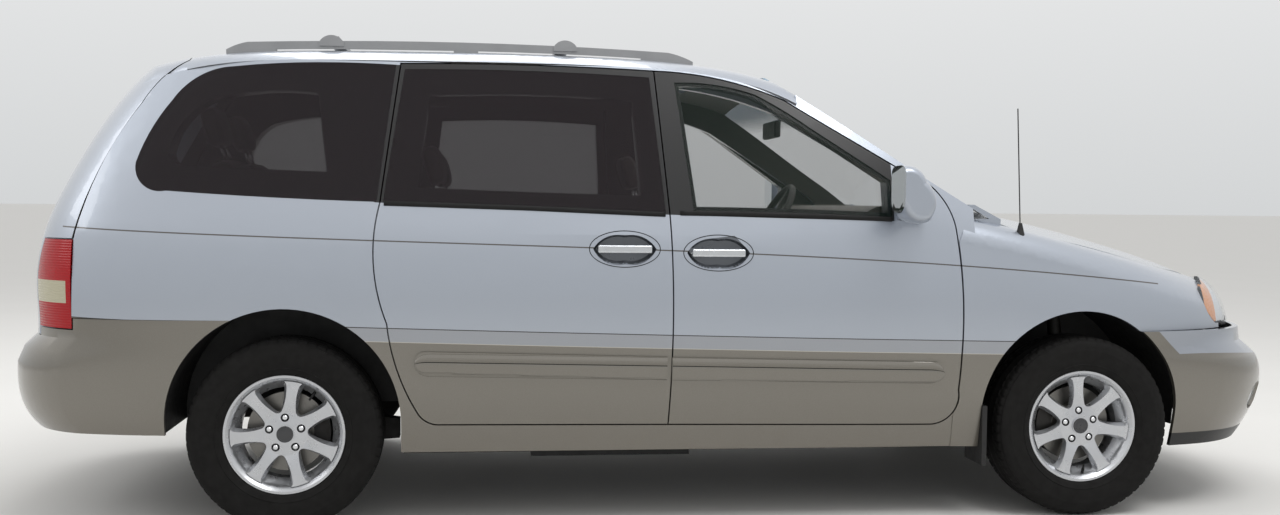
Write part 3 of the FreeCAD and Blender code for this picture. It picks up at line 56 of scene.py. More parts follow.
def place_camera():
    """Camera that looks as the photograph's did: at the right side, turned a little towards the front."""
    forward = Vector((math.sin(YAW) * math.cos(PITCH), math.cos(YAW) * math.cos(PITCH), math.sin(PITCH)))
    level = Vector((math.cos(YAW), -math.sin(YAW), 0.0))
    upright = level.cross(forward)
    right = math.cos(ROLL) * level + math.sin(ROLL) * upright
    up = math.cos(ROLL) * upright - math.sin(ROLL) * level
    data = bpy.data.cameras.new("camera")
    data.lens = LENS_MM
    data.sensor_width = SENSOR_MM
    data.sensor_fit = "HORIZONTAL"
    data.clip_end = CLIP_END
    camera = bpy.data.objects.new("camera", data)
    bpy.context.scene.collection.objects.link(camera)
    turn = Matrix((right, up, -forward)).transposed()
    camera.matrix_world = Matrix.Translation(EYE) @ turn.to_4x4()
    bpy.context.scene.camera = camera


place_camera()
bpy.context.scene.view_settings.view_transform = "Standard"

# Shader helpers


def linear(code):
    """An sRGB hex colour as linear red, green, blue and an alpha of 1."""
    channel = np.array([int(code[i:i + 2], 16) for i in (0, 2, 4)]) / 255
    light = np.where(channel <= 0.04045, channel / 12.92, ((channel + 0.055) / 1.055) ** 2.4)
    return (*(float(v) for v in light), 1.0)


def add(tree, kind, inputs=None, **settings):
    """Adds a shader node with its settings, values and links, and returns it."""
    made = tree.nodes.new(kind)
    for key, value in settings.items():
        setattr(made, key, value)
    for key, value in (inputs or {}).items():
        if isinstance(value, bpy.types.NodeSocket):
            tree.links.new(value, made.inputs[key])
        else:
            made.inputs[key].default_value = value
    return made


def maths(tree, operation, *values):
    """Output of a Math node."""
    return add(tree, "ShaderNodeMath", dict(enumerate(values)), operation=operation).outputs[0]


def blend_colour(tree, share, below, above):
    """Colour between two others, by a share from 0 to 1."""
    made = add(tree, "ShaderNodeMix", {0: share, 6: below, 7: above}, data_type="RGBA")
    return made.outputs[2]


class Finish:
    """A material with one Principled shader and the Object coordinates to hand."""

    def __init__(self, name, code, roughness, metallic=0.0, **sockets):
        self.material = bpy.data.materials.new(name)
        self.material.use_nodes = True
        self.tree = self.material.node_tree
        self.shader = self.tree.nodes["Principled BSDF"]
        self.shader.inputs["Base Color"].default_value = linear(code)
        self.shader.inputs["Roughness"].default_value = roughness
        self.shader.inputs["Metallic"].default_value = metallic
        for key, value in sockets.items():
            self.shader.inputs[key.replace("_", " ")].default_value = value
        self.place = add(self.tree, "ShaderNodeTexCoord").outputs["Object"]
        split = add(self.tree, "ShaderNodeSeparateXYZ", {0: self.place})
        self.x, self.y, self.z = split.outputs

    def link(self, socket, output):
        """Feeds an input of the shader."""
        self.tree.links.new(output, self.shader.inputs[socket])

    def noise(self, size_mm, detail=2.0, stretch=(1.0, 1.0, 1.0)):
        """Noise of about 0 to 1 whose grains are size_mm across."""
        place = add(self.tree, "ShaderNodeMapping", {"Vector": self.place, "Scale": stretch}).outputs[0]
        made = add(self.tree, "ShaderNodeTexNoise", {"Vector": place, "Scale": 1000.0 / size_mm,
                                                     "Detail": detail})
        return made.outputs["Fac"]

    def vary(self, size_mm, share, code):
        """Colour that drifts from the base towards another with a noise."""
        base = self.shader.inputs["Base Color"].default_value[:]
        amount = maths(self.tree, "MULTIPLY", self.noise(size_mm, 3.0), share)
        self.link("Base Color", blend_colour(self.tree, amount, base, linear(code)))
        return self

    def rough(self, size_mm, low, high):
        """Roughness between two values, by a noise."""
        made = add(self.tree, "ShaderNodeMapRange", {0: self.noise(size_mm, 4.0), 1: 0.3, 2: 0.7,
                                                     3: low, 4: high})
        self.link("Roughness", made.outputs[0])
        return self

    def bump(self, height, depth_mm, strength=1.0):
        """Relief from a height output of 0 to 1."""
        made = add(self.tree, "ShaderNodeBump", {"Height": height, "Distance": depth_mm / 1000.0,
                                                 "Strength": strength})
        self.link("Normal", made.outputs[0])
        return self

    def grain(self, size_mm, depth_mm, strength=1.0):
        """Relief of a fine noise."""
        return self.bump(self.noise(size_mm, 3.0), depth_mm, strength)


def all_of(tree, *masks):
    """Product of masks of 0 and 1."""
    total = masks[0]
    for mask in masks[1:]:
        total = maths(tree, "MULTIPLY", total, mask)
    return total


# Body lines in side view, as rows of (x, z)

STRIPE = [(-2.135, 1.046), (-1.705, 1.037), (-1.116, 1.016), (-0.375, 0.991), (-0.083, 0.983),
          (0.381, 0.966), (0.977, 0.937), (1.129, 0.930), (1.394, 0.912), (1.584, 0.891), (1.796, 0.862)]
TWO_TONE = [(-2.102, 0.743), (-1.638, 0.732), (-1.190, 0.714), (-1.033, 0.707), (-0.089, 0.686),
            (0.494, 0.674), (0.993, 0.664), (1.187, 0.658)]
# The shoulder under the two-tone line, made paler by a painted reflection: its height, and the x that it
# starts from
SHOULDER_DROP = 0.048
SHOULDER_START = -1.30
# Half width of the painted highlight at the shoulder's foot
HIGHLIGHT_HALF = 0.0013
# Half width of the painted shade in the groove at the two-tone line
GROOVE_HALF = 0.0017
BUMPER_SHOULDER = [(1.850, 0.606), (2.200, 0.595), (2.400, 0.572)]
# The bumper is silver where x + slope z is above a limit, and bare below its lip
BUMPER_SLANT = (1.07, 2.508)
BUMPER_LIP = 0.300
BELT = [(-1.106, 1.144), (-0.600, 1.130), (-0.088, 1.113), (-0.002, 1.107), (0.360, 1.104), (0.727, 1.098)]
STRIPE_HALF = 0.0024
STRIPE_MIDDLE, STRIPE_REACH = -0.2, 1.99
# Lines are painted only outside this distance from the middle plane
SKIN_Y = 0.60
# Ahead of this x a front door is body colour up to its top
SAIL_X = 0.735
# The quarter panel's black pillar: x = slope (z - height) + start at its front, and where it ends
PILLAR_SLOPE, PILLAR_HEIGHT, PILLAR_START = 0.1138, 1.148, -1.125
PILLAR_BACK, PILLAR_TOP = -0.9, 1.640
# Darkening is strongest at the foot of this band and below it, and none is left at its top
DARKEN_TOP, DARKEN_FOOT, DARKEN_MOST = 0.46, 0.20, 0.55


def height_of_line(finish, rows, degree=3):
    """Height at x of a line through rows, as a polynomial worked out by Horner's rule."""
    xs, zs = np.array(rows).T
    terms = [float(t) for t in np.polyfit(xs, zs, degree)]
    value = maths(finish.tree, "MULTIPLY_ADD", finish.x, terms[0], terms[1])
    for term in terms[2:]:
        value = maths(finish.tree, "MULTIPLY_ADD", value, finish.x, term)
    return value


# Colours of the enamel and of the lines in it
SILVER = "A6ADB8"
PEWTER = "716C62"
# Pale blue-grey: a painted reflection on the side's shoulder, and the silver paint of the bumper's top
SHOULDER_SHEEN_AND_BUMPER_SILVER = "9EA3AC"
FRAME_BLACK = "0B0B0D"
MOULDED_BLACK = "161617"
TRIM_PALE, TRIM_DARK = "6A6660", "35332F"
STRIPE_COLOUR = "4A4540"
SHOULDER_EDGE_HIGHLIGHT = "C9C3B6"
# Painted highlight along the shoulder's foot
GROOVE_SHADE = "26221F"
# Painted shade in the groove at the two-tone line
FLAKE = "D8DADD"
DARKENING_COLOUR = "6B6256"
# Colour that the body darkens towards near its foot
LIP_BLACK = "151515"
ENAMEL_METALLIC = 0.72


def enamel(name, code=SILVER, two_tone=False, stripe=False, frames=None, bumper=False):
    """Metallic enamel: aluminium flakes in the base coat give a soft grain that flares towards the
    light, and the clear coat over it gives sharp reflections with a faint orange peel. The two-tone line,
    the stripe and the black window frames are masks worked out from x, y and z."""
    paint = Finish(name, code, 0.36, ENAMEL_METALLIC, Coat_Weight=1.0, Coat_Roughness=0.03, Coat_IOR=1.5)
    tree = paint.tree
    colour = linear(code)
    outside = maths(tree, "GREATER_THAN", maths(tree, "ABSOLUTE", paint.y), SKIN_Y)
    if two_tone:
        line = height_of_line(paint, TWO_TONE, 2)
        low = maths(tree, "LESS_THAN", paint.z, line)
        colour = blend_colour(tree, low, colour, linear(PEWTER))
        # Under the line the moulded shoulder is made paler by a painted reflection, and a painted highlight
        # runs along its foot
        ahead = maths(tree, "GREATER_THAN", paint.x, SHOULDER_START)
        foot = maths(tree, "SUBTRACT", line, SHOULDER_DROP)
        shoulder = all_of(tree, low, maths(tree, "GREATER_THAN", paint.z, foot), ahead, outside)
        # Painted reflection: the shoulder is blended most of the way to the pale colour
        colour = blend_colour(tree, maths(tree, "MULTIPLY", shoulder, 0.8), colour, linear(SHOULDER_SHEEN_AND_BUMPER_SILVER))
        # A fine painted highlight along the shoulder's foot
        edge = all_of(tree, maths(tree, "COMPARE", paint.z, foot, HIGHLIGHT_HALF), ahead, outside)
        colour = blend_colour(tree, maths(tree, "MULTIPLY", edge, 0.6), colour, linear(SHOULDER_EDGE_HIGHLIGHT))
        # A dark line of painted shade stands for the groove at the two-tone line
        groove = all_of(tree, maths(tree, "COMPARE", paint.z, line, GROOVE_HALF), outside)
        colour = blend_colour(tree, groove, colour, linear(GROOVE_SHADE))
    if stripe:
        near = maths(tree, "COMPARE", paint.z, height_of_line(paint, STRIPE), STRIPE_HALF)
        ends = maths(tree, "COMPARE", paint.x, STRIPE_MIDDLE, STRIPE_REACH)
        colour = blend_colour(tree, all_of(tree, near, ends, outside), colour, linear(STRIPE_COLOUR))
    # Flakes are far finer than a pixel, so they are drawn 2 mm across to show at all
    flake = maths(tree, "MULTIPLY", paint.noise(2.0, 1.0), 0.10)
    colour = blend_colour(tree, flake, colour, linear(FLAKE))
    # Towards the bottom of the body the colour darkens unevenly, and the metallic sheen lessens
    darkening = add(tree, "ShaderNodeMapRange", {0: paint.z, 1: DARKEN_TOP, 2: DARKEN_FOOT,
                                            3: 0.0, 4: DARKEN_MOST}).outputs[0]
    darkening = maths(tree, "MULTIPLY", darkening, paint.noise(60.0, 6.0))
    colour = blend_colour(tree, darkening, colour, linear(DARKENING_COLOUR))
    metallic = maths(tree, "SUBTRACT", ENAMEL_METALLIC, maths(tree, "MULTIPLY", darkening, 0.6))
    if frames:
        above = maths(tree, "GREATER_THAN", paint.z, height_of_line(paint, BELT, 2))
        if frames == "door":
            black = all_of(tree, above, maths(tree, "LESS_THAN", paint.x, SAIL_X), outside)
        else:
            edge = maths(tree, "MULTIPLY_ADD", paint.z, PILLAR_SLOPE,
                         PILLAR_START - PILLAR_HEIGHT * PILLAR_SLOPE)
            black = all_of(tree, above, maths(tree, "GREATER_THAN", paint.x, edge), outside,
                           maths(tree, "LESS_THAN", paint.x, PILLAR_BACK),
                           maths(tree, "LESS_THAN", paint.z, PILLAR_TOP))
        colour = blend_colour(tree, black, colour, linear(FRAME_BLACK))
        metallic = maths(tree, "MULTIPLY", metallic, maths(tree, "SUBTRACT", 1.0, black))
        paint.link("Coat Weight", maths(tree, "SUBTRACT", 1.0, maths(tree, "MULTIPLY", black, 0.9)))
    if bumper:
        # Silver over pewter, with a slanting end near the wheel, and a lower lip of bare black plastic
        slant = maths(tree, "MULTIPLY_ADD", paint.z, BUMPER_SLANT[0], paint.x)
        upper = all_of(tree, maths(tree, "GREATER_THAN", paint.z, height_of_line(paint, BUMPER_SHOULDER, 2)),
                       maths(tree, "GREATER_THAN", slant, BUMPER_SLANT[1]))
        colour = blend_colour(tree, upper, colour, linear(SHOULDER_SHEEN_AND_BUMPER_SILVER))
        black = maths(tree, "LESS_THAN", paint.z, BUMPER_LIP)
        colour = blend_colour(tree, black, colour, linear(LIP_BLACK))
        metallic = maths(tree, "MULTIPLY", metallic, maths(tree, "SUBTRACT", 1.0, black))
        paint.link("Coat Weight", maths(tree, "SUBTRACT", 1.0, black))
    paint.link("Base Color", colour)
    paint.link("Metallic", metallic)
    return paint.grain(14.0, 0.03, 0.25).material


def plain(name, code, roughness, metallic=0.0, grain=(2.0, 0.05), other=None, **sockets):
    """Moulded, cast or pressed finish: a fine grain, with a colour that drifts a little."""
    made = Finish(name, code, roughness, metallic, **sockets)
    if other:
        made.vary(90.0, 0.7, other)
    made.rough(25.0, max(0.02, roughness - 0.06), min(1.0, roughness + 0.08))
    return made.grain(*grain).material


GLASS_GREEN = "26362F"
CLEAR_ALPHA = 0.16


def glass(name, code, alpha, other="1F2B28", **sockets):
    """Float glass, shown by its tint, its alpha and its reflections."""
    made = Finish(name, code, 0.02, 0.0, Alpha=alpha, **sockets)
    made.vary(400.0, 0.15, other)
    return made.material


def cloth(name, code, other, thread_mm=3.0):
    """Woven seat cloth: two sets of threads over and under each other, with a soft sheen. The real
    threads are about 0.6 mm, and are drawn coarser so that the weave shows."""
    made = Finish(name, code, 0.9, 0.0, Sheen_Weight=0.35, Sheen_Roughness=0.5)
    turns = 2 * math.pi * 1000.0 / thread_mm
    warp = maths(made.tree, "SINE", maths(made.tree, "MULTIPLY", made.y, turns))
    along = maths(made.tree, "ADD", made.x, made.z)
    weft = maths(made.tree, "SINE", maths(made.tree, "MULTIPLY", along, turns))
    weave = maths(made.tree, "MULTIPLY_ADD", maths(made.tree, "MULTIPLY", warp, weft), 0.5, 0.5)
    drift = maths(made.tree, "MULTIPLY", made.noise(40.0, 5.0), 0.3)
    share = maths(made.tree, "MULTIPLY_ADD", weave, 0.35, drift)
    made.link("Base Color", blend_colour(made.tree, share, linear(code), linear(other)))
    return made.bump(weave, 0.5, 0.6).material


def machined(name, code, roughness):
    """Machined iron: patches of different polish, and fine marks that break each highlight and lie six
    times closer together along the axle than across it."""
    made = Finish(name, code, roughness, 1.0)
    patches = made.noise(30.0, 3.0)
    made.link("Roughness", maths(made.tree, "MULTIPLY_ADD", patches, 0.18, roughness - 0.06))
    marks = made.noise(1.2, 2.0, (1.0, 6.0, 1.0))
    made.vary(55.0, 0.22, "8C8B88")
    return made.bump(marks, 0.03, 0.35).material


# Moulded rubber is matt and dark grey, and tyres are browner where dust sits
RUBBER = plain("tyre_rubber", "0D0C0C", 0.80, grain=(3.0, 0.10), other="171614", IOR=1.33)
SEAL = plain("seal_rubber", "0A0A0A", 0.62, grain=(4.0, 0.05), IOR=1.4)
# Moulded ABS and polypropylene: a dull sheen over a fine pressed grain, or a polished black
BLACK_PLASTIC = plain("moulded_black_plastic", MOULDED_BLACK, 0.55, grain=(1.5, 0.08), other="1F1E1D")
GLOSS_BLACK = plain("gloss_black_plastic", "0B0A0C", 0.18, grain=(20.0, 0.02), IOR=1.4)
GREY_TRIM = plain("moulded_grey_trim", TRIM_PALE, 0.62, grain=(1.5, 0.12), other="5E5A55")
DARK_TRIM = plain("moulded_dark_trim", TRIM_DARK, 0.66, grain=(1.5, 0.12), other="2B2A27")
# Felt, carpet and woven cloth: threads that show as a soft weave
HEADLINER = cloth("headliner_felt", "6E6962", "5A564F", 4.0)
CARPET = cloth("floor_carpet", "3F3B37", "2C2926", 5.0)
SEAT_CLOTH = cloth("seat_cloth", "6E675D", "57514A")
# Sprayed underseal is rough and dull
UNDERSEAL = plain("black_underseal", "151515", 0.75, grain=(6.0, 0.6), other="231F1B")
# Bare metals: machined iron shines in patches, cast aluminium is mottled, and pipes have brown stains
CAST_IRON = machined("turned_iron", "7B7975", 0.36)
CAST_METAL = plain("cast_aluminium", "86857F", 0.55, 0.9, grain=(2.0, 0.2), other="605E59")
PIPE_STEEL = plain("pipe_steel", "77726B", 0.48, 0.9, grain=(8.0, 0.1), other="5B4A3A")
# Cast alloy under silver lacquer: a smooth bright sheen; the lug pockets are darkened with painted shade
ALLOY = plain("lacquered_alloy", "C6C8CC", 0.30, 0.82, grain=(1.5, 0.015), other="B9BABC", Coat_Weight=0.5)
LUG_POCKET_PAINTED_SHADE = plain("lug_pocket_paint", "3C3B3A", 0.50, 0.6, grain=(1.5, 0.03), other="2B2A28")
STRUT_PAINT = plain("black_strut_enamel", "1A1917", 0.50, 0.1, grain=(3.0, 0.1), other="2B2620")
# Plating mirrors the room, and the anodised rails give a broad satin highlight
CHROME = plain("chromed_trim", "E3E4E6", 0.09, 1.0, grain=(30.0, 0.02))
RACK = plain("satin_anodised_rail", "A5A6A8", 0.38, 0.8, grain=(2.0, 0.04), other="8D8E90")
# Enamel is glossy, with soft flakes under its clear coat
SILVER_PAINT = enamel("silver_enamel")
SIDE_PAINT = enamel("side_enamel", two_tone=True, stripe=True, frames="side")
DOOR_PAINT = enamel("door_enamel", two_tone=True, stripe=True, frames="door")
WING_PAINT = enamel("wing_enamel", two_tone=True, stripe=True)
TAIL_PAINT = enamel("tailgate_enamel", stripe=True)
PEWTER_PAINT = enamel("pewter_enamel", PEWTER)
BUMPER_PAINT = enamel("front_bumper_enamel", PEWTER, bumper=True)
CLEAR_GLASS = glass("clear_glass", GLASS_GREEN, CLEAR_ALPHA)
# Heights where the windscreen's shade band starts and is whole
SHADE_BAND = (1.49, 1.56)


def screen_glass():
    """Laminated windscreen: faintly green, with a blue shade band that fades in towards its top."""
    made = Finish("screen_glass", GLASS_GREEN, 0.02)
    band = add(made.tree, "ShaderNodeMapRange", {0: made.z, 1: SHADE_BAND[0], 2: SHADE_BAND[1]}).outputs[0]
    made.link("Base Color", blend_colour(made.tree, band, linear(GLASS_GREEN), linear("3F8FB4")))
    made.link("Alpha", maths(made.tree, "MULTIPLY_ADD", band, 0.42, CLEAR_ALPHA))
    return made.material


SCREEN_GLASS = screen_glass()
# Tinted glass is dark with a trace of purple, and the lamps' polycarbonate is almost clear
PRIVACY_GLASS = glass("privacy_glass", "1A1016", 0.50, "20131C", IOR=1.42)
LENS = glass("clear_lens", "C9CED2", CLEAR_ALPHA)
MIRROR_FACE = Finish("silvered_glass", "E8ECEE", 0.03, 1.0).material
# Lacquers and the lamps' insides: amber acrylic, vapour-coated aluminium and frosted glass
AMBER = plain("amber_lens", "D9852B", 0.12, grain=(5.0, 0.3), Coat_Weight=1.0)
RADIATOR = plain("radiator_aluminium", "4A4B4C", 0.55, 0.7, grain=(3.0, 0.2), other="353433")
HANDLE_SILVER = plain("handle_lacquer", "D3D6DA", 0.20, 0.85, grain=(3.0, 0.01), Coat_Weight=0.6)
# Darker silver for the handle's pocket: painted shade in the recess
HANDLE_POCKET_PAINTED_SHADE = plain("pocket_lacquer", "5F6369", 0.32, 0.6, grain=(3.0, 0.02), Coat_Weight=0.5)
REFLECTOR = plain("aluminised_reflector", "E6E8EA", 0.14, 0.95, grain=(12.0, 0.2))
BULB_GLASS = plain("frosted_bulb_glass", "D6D9DC", 0.25, 0.2, grain=(4.0, 0.05))
# The tail lamp's clear band: its middle height, half its height, and the x that it lies behind
TAIL_BAND_Z, TAIL_BAND_HALF, TAIL_BAND_X = 0.8285, 0.0385, -2.165
FLUTE_PITCH = 0.009


def tail_lens():
    """Acrylic tail lamp: a red lens with fine level flutes 9 mm apart and a clear band above the middle."""
    made = Finish("tail_lens", "A30A12", 0.10, 0.0, IOR=1.36)
    band = all_of(made.tree, maths(made.tree, "COMPARE", made.z, TAIL_BAND_Z, TAIL_BAND_HALF),
                  maths(made.tree, "LESS_THAN", made.x, TAIL_BAND_X))
    made.link("Base Color", blend_colour(made.tree, band, linear("A50A14"), linear("B9B49C")))
    flutes = maths(made.tree, "SINE", maths(made.tree, "MULTIPLY", made.z, 2 * math.pi / FLUTE_PITCH))
    return made.bump(maths(made.tree, "MULTIPLY_ADD", flutes, 0.5, 0.5), 1.2, 0.7).material


TAIL_LENS = tail_lens()
TRIM_HEIGHT = 1.16


def cabin_trim():
    """Moulded panels on the insides of doors and body sides: pale below the windows, dark round them."""
    made = Finish("moulded_cabin_trim", TRIM_PALE, 0.64)
    high = maths(made.tree, "GREATER_THAN", made.z, TRIM_HEIGHT)
    made.link("Base Color", blend_colour(made.tree, high, linear(TRIM_PALE), linear(TRIM_DARK)))
    return made.grain(1.5, 0.12).material


CABIN_TRIM = cabin_trim()


def cowl_finish():
    """Black moulded panel under the screen, whose two ends beside the pillars are painted as the body is."""
    made = Finish("cowl_plastic", MOULDED_BLACK, 0.45)
    end = maths(made.tree, "GREATER_THAN", maths(made.tree, "ABSOLUTE", made.y), SKIN_Y)
    made.link("Base Color", blend_colour(made.tree, end, linear(MOULDED_BLACK), linear(SILVER)))
    made.link("Metallic", maths(made.tree, "MULTIPLY", end, ENAMEL_METALLIC))
    made.link("Coat Weight", end)
    return made.grain(1.5, 0.04).material


COWL_FINISH = cowl_finish()

# Mesh helpers


def put_mesh(name, points, faces, body, slot, material, smooth=True):
    """A new piece from an array of points and an array of faces, riding on a body."""
    mesh = bpy.data.meshes.new(name)
    points = np.asarray(points, float).reshape(-1, 3)
    mesh.from_pydata(points.tolist(), [], [list(map(int, f)) for f in faces])
    mesh.validate()
    mesh.polygons.foreach_set("use_smooth", np.full(len(mesh.polygons), smooth))
    mesh.materials.append(material)
    mesh.update()
    piece = bpy.data.objects.new(name, mesh)
    bpy.context.scene.collection.objects.link(piece)
    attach(piece, body)
    return piece


def sheet_faces(rows, columns, loop_rows=False, loop_columns=False):
    """Quads of a grid of rows by columns, closed on itself either way."""
    i = np.arange(rows if loop_rows else rows - 1)
    j = np.arange(columns if loop_columns else columns - 1)
    i, j = [a.ravel() for a in np.meshgrid(i, j, indexing="ij")]
    i2, j2 = (i + 1) % rows, (j + 1) % columns
    return np.stack([i * columns + j, i * columns + j2, i2 * columns + j2, i2 * columns + j], 1)


def join(parts):
    """Points and faces of several (points, faces) as one list each."""
    points, faces, start = [], [], 0
    for some, quads in parts:
        some = np.asarray(some, float).reshape(-1, 3)
        points.append(some)
        faces += [[int(v) + start for v in f] for f in quads]
        start += len(some)
    return np.concatenate(points), faces


def tube(path, profile, up=(0, 0, 1)):
    """A closed profile of (side, up) offsets carried along a path, with its two ends closed.

    At each point the side axis is the path's direction crossed with up."""
    path = np.asarray(path, float)
    profile = np.asarray(profile, float)
    along = np.gradient(path, axis=0)
    along /= np.linalg.norm(along, axis=1, keepdims=True)
    side = np.cross(along, up)
    side /= np.linalg.norm(side, axis=1, keepdims=True)
    rise = np.cross(side, along)
    grid = path[:, None] + side[:, None] * profile[None, :, :1] + rise[:, None] * profile[None, :, 1:]
    rows, columns = len(path), len(profile)
    faces = sheet_faces(rows, columns, loop_columns=True).tolist()
    faces = [f[::-1] for f in faces]
    faces.append(list(range(columns)))
    faces.append([(rows - 1) * columns + k for k in range(columns)][::-1])
    return grid.reshape(-1, 3), faces


def slab(sheet, offset):
    """Closed panel between a sheet of points, rows by columns, and the same sheet moved by an offset."""
    rows, columns = sheet.shape[0], 2 * sheet.shape[1]
    loop = np.concatenate([sheet, (sheet + np.array(offset))[:, ::-1]], 1)
    faces = sheet_faces(rows, columns, loop_columns=True).tolist()
    faces.append(list(range(columns)))
    faces.append([(rows - 1) * columns + k for k in range(columns)][::-1])
    return loop, faces


def oval(half_side, half_up, count):
    """Profile of an ellipse, anticlockwise."""
    t = np.linspace(0, 2 * math.pi, count, endpoint=False)
    return np.stack([half_side * np.cos(t), half_up * np.sin(t)], 1)


def turned(profile, centre, axis, count):
    """A profile of (radius, height) rows turned round an axis through a centre."""
    axis = Vector(axis).normalized()
    across = axis.orthogonal().normalized()
    third = axis.cross(across)
    t = np.linspace(0, 2 * math.pi, count, endpoint=False)
    circle = np.cos(t)[:, None] * np.array(across) + np.sin(t)[:, None] * np.array(third)
    profile = np.asarray(profile, float)
    grid = np.array(centre) + profile[None, :, :1] * circle[:, None] + profile[None, :, 1:] * np.array(axis)
    return grid.reshape(-1, 3), sheet_faces(count, len(profile), loop_rows=True).tolist()


def clean(piece, merge=1e-5):
    """Merges doubled points and turns all faces outwards."""
    shape = bmesh.new()
    shape.from_mesh(piece.data)
    bmesh.ops.remove_doubles(shape, verts=shape.verts, dist=merge)
    bmesh.ops.dissolve_degenerate(shape, edges=shape.edges, dist=merge)
    bmesh.ops.recalc_face_normals(shape, faces=shape.faces)
    shape.to_mesh(piece.data)
    shape.free()
    return piece


TREES = {}


def hit(node, origin, direction):
    """Where a ray first meets a CAD node."""
    if node not in TREES:
        mesh = NODES[node].data
        TREES[node] = BVHTree.FromPolygons([v.co for v in mesh.vertices], [p.vertices for p in mesh.polygons])
    return TREES[node].ray_cast(Vector(origin), Vector(direction).normalized())[0]


# How far from the middle of the body rays start, to a side and to an end
RAY_SIDE, RAY_END = 1.5, 3.0


def from_side(node, x, z, side):
    """Where a ray from outside a side meets a CAD node."""
    return hit(node, (x, side * RAY_SIDE, z), (0, -side, 0))


def from_end(node, y, z, way):
    """Where a ray from ahead (1) or from behind (-1) meets a CAD node."""
    return hit(node, (way * RAY_END, y, z), (-way, 0, 0))


def on_side(node, rows, side, proud=0.0):
    """Points on the outside of a node at rows of (x, z), moved out by proud."""
    points = []
    for x, z in rows:
        found = from_side(node, x, z, side)
        points.append((x, (found.y if found else side * 0.93) + side * proud, z))
    return np.array(points)


def along_rows(rows, count):
    """Points at even steps along rows of (x, z)."""
    rows = np.asarray(rows, float)
    reach = np.concatenate([[0], np.cumsum(np.linalg.norm(np.diff(rows, axis=0), axis=1))])
    at = np.linspace(0, reach[-1], count)
    return np.stack([np.interp(at, reach, rows[:, 0]), np.interp(at, reach, rows[:, 1])], 1)


# Outlines of the windows in side view, millimetres, as the part's source has them

FRONT_WINDOW = [(-57, 1595, "to"), (110, 1588, "via"), (243, 1557, "to"), (335, 1507, "via"),
                (441, 1437, "to"), (728, 1246, "to"), (728, 1112, "to"), (360, 1124, "via"), (-2, 1128, "to")]
SLIDING_WINDOW = [(-150, 1612, "to"), (-600, 1628, "via"), (-1030, 1624, "to"), (-1095, 1150, "to"),
                  (-590, 1140, "via"), (-103, 1120, "to")]
QUARTER_WINDOW = [(-1062, 1640, "to"), (-1350, 1642, "via"), (-1628, 1622, "to"), (-1760, 1578, "via"),
                  (-1833, 1499, "to"), (-1900, 1385, "via"), (-1939, 1276, "to"), (-1915, 1205, "via"),
                  (-1829, 1179, "to"), (-1464, 1159, "via"), (-1118, 1148, "to")]


ARC_STEPS = 8


def outline(rows):
    """Points in metres of an outline whose arcs each pass through a "via" point: a curve of the second
    order through the arc's start, middle and end."""
    points = [rows[0][:2]]
    middle = None
    for x, z, kind in rows[1:] + rows[:1]:
        if kind == "via":
            middle = np.array((x, z), float)
            continue
        start, end = np.array(points[-1], float), np.array((x, z), float)
        if middle is None:
            points.append(tuple(end))
        else:
            t = np.linspace(0, 1, ARC_STEPS + 1)[1:, None]
            bend = 2 * middle - 0.5 * (start + end)
            curve = (1 - t) ** 2 * start + 2 * t * (1 - t) * bend + t ** 2 * end
            points += [tuple(p) for p in curve]
            middle = None
    return np.array(points[:-1]) / 1000.0


def inside(points, polygon):
    """True for each (x, z) point that a polygon holds, by counting the edges crossed."""
    x, z = points[:, 0], points[:, 1]
    held = np.zeros(len(points), bool)
    for (x0, z0), (x1, z1) in zip(polygon, np.roll(polygon, -1, 0)):
        crosses = (z0 > z) != (z1 > z)
        with np.errstate(divide="ignore", invalid="ignore"):
            at = (x1 - x0) * (z - z0) / (z1 - z0) + x0
        held ^= crosses & (x < at)
    return held


def moved_out(polygon, distance):
    """A polygon drawn larger from its middle by about a distance."""
    middle = polygon.mean(0)
    away = polygon - middle
    return polygon + away / np.linalg.norm(away, axis=1, keepdims=True) * distance


# Finishes of the CAD nodes

NODE_FINISH = {
    "body_side_left": SIDE_PAINT, "body_side_right": SIDE_PAINT, "roof": SILVER_PAINT, "hood": SILVER_PAINT,
    "front_fenders": WING_PAINT, "tailgate": TAIL_PAINT, "front_door_left": DOOR_PAINT,
    "front_door_right": DOOR_PAINT, "sliding_door_left": DOOR_PAINT, "sliding_door_right": DOOR_PAINT,
    "fuel_door": WING_PAINT, "door_mirror_left": SILVER_PAINT, "door_mirror_right": SILVER_PAINT,
    "front_bumper": BUMPER_PAINT, "rear_bumper": PEWTER_PAINT, "grille": BLACK_PLASTIC, "cowl": COWL_FINISH,
    "wheel_arch_liners": BLACK_PLASTIC, "mud_flaps": BLACK_PLASTIC, "dashboard": GREY_TRIM,
    "steering_wheel": DARK_TRIM, "interior_mirror": BLACK_PLASTIC, "windscreen": SCREEN_GLASS,
    "front_door_glass_left": CLEAR_GLASS, "front_door_glass_right": CLEAR_GLASS,
    "quarter_glass": PRIVACY_GLASS, "sliding_door_glass": PRIVACY_GLASS, "tailgate_glass": PRIVACY_GLASS,
    "sunroof_glass": PRIVACY_GLASS, "headlamps": LENS, "tail_lamps": TAIL_LENS, "door_seals": SEAL,
    "roof_rack": RACK, "antenna": BLACK_PLASTIC, "wipers": BLACK_PLASTIC, "front_seats": SEAT_CLOTH,
    "second_row_seats": SEAT_CLOTH, "third_row_bench": SEAT_CLOTH, "floor_pan": UNDERSEAL,
    "front_subframe": UNDERSEAL, "rear_axle": UNDERSEAL, "exhaust": PIPE_STEEL, "fuel_tank": BLACK_PLASTIC,
    "engine_block": CAST_METAL, "knuckle_left": STRUT_PAINT, "knuckle_right": STRUT_PAINT,
}
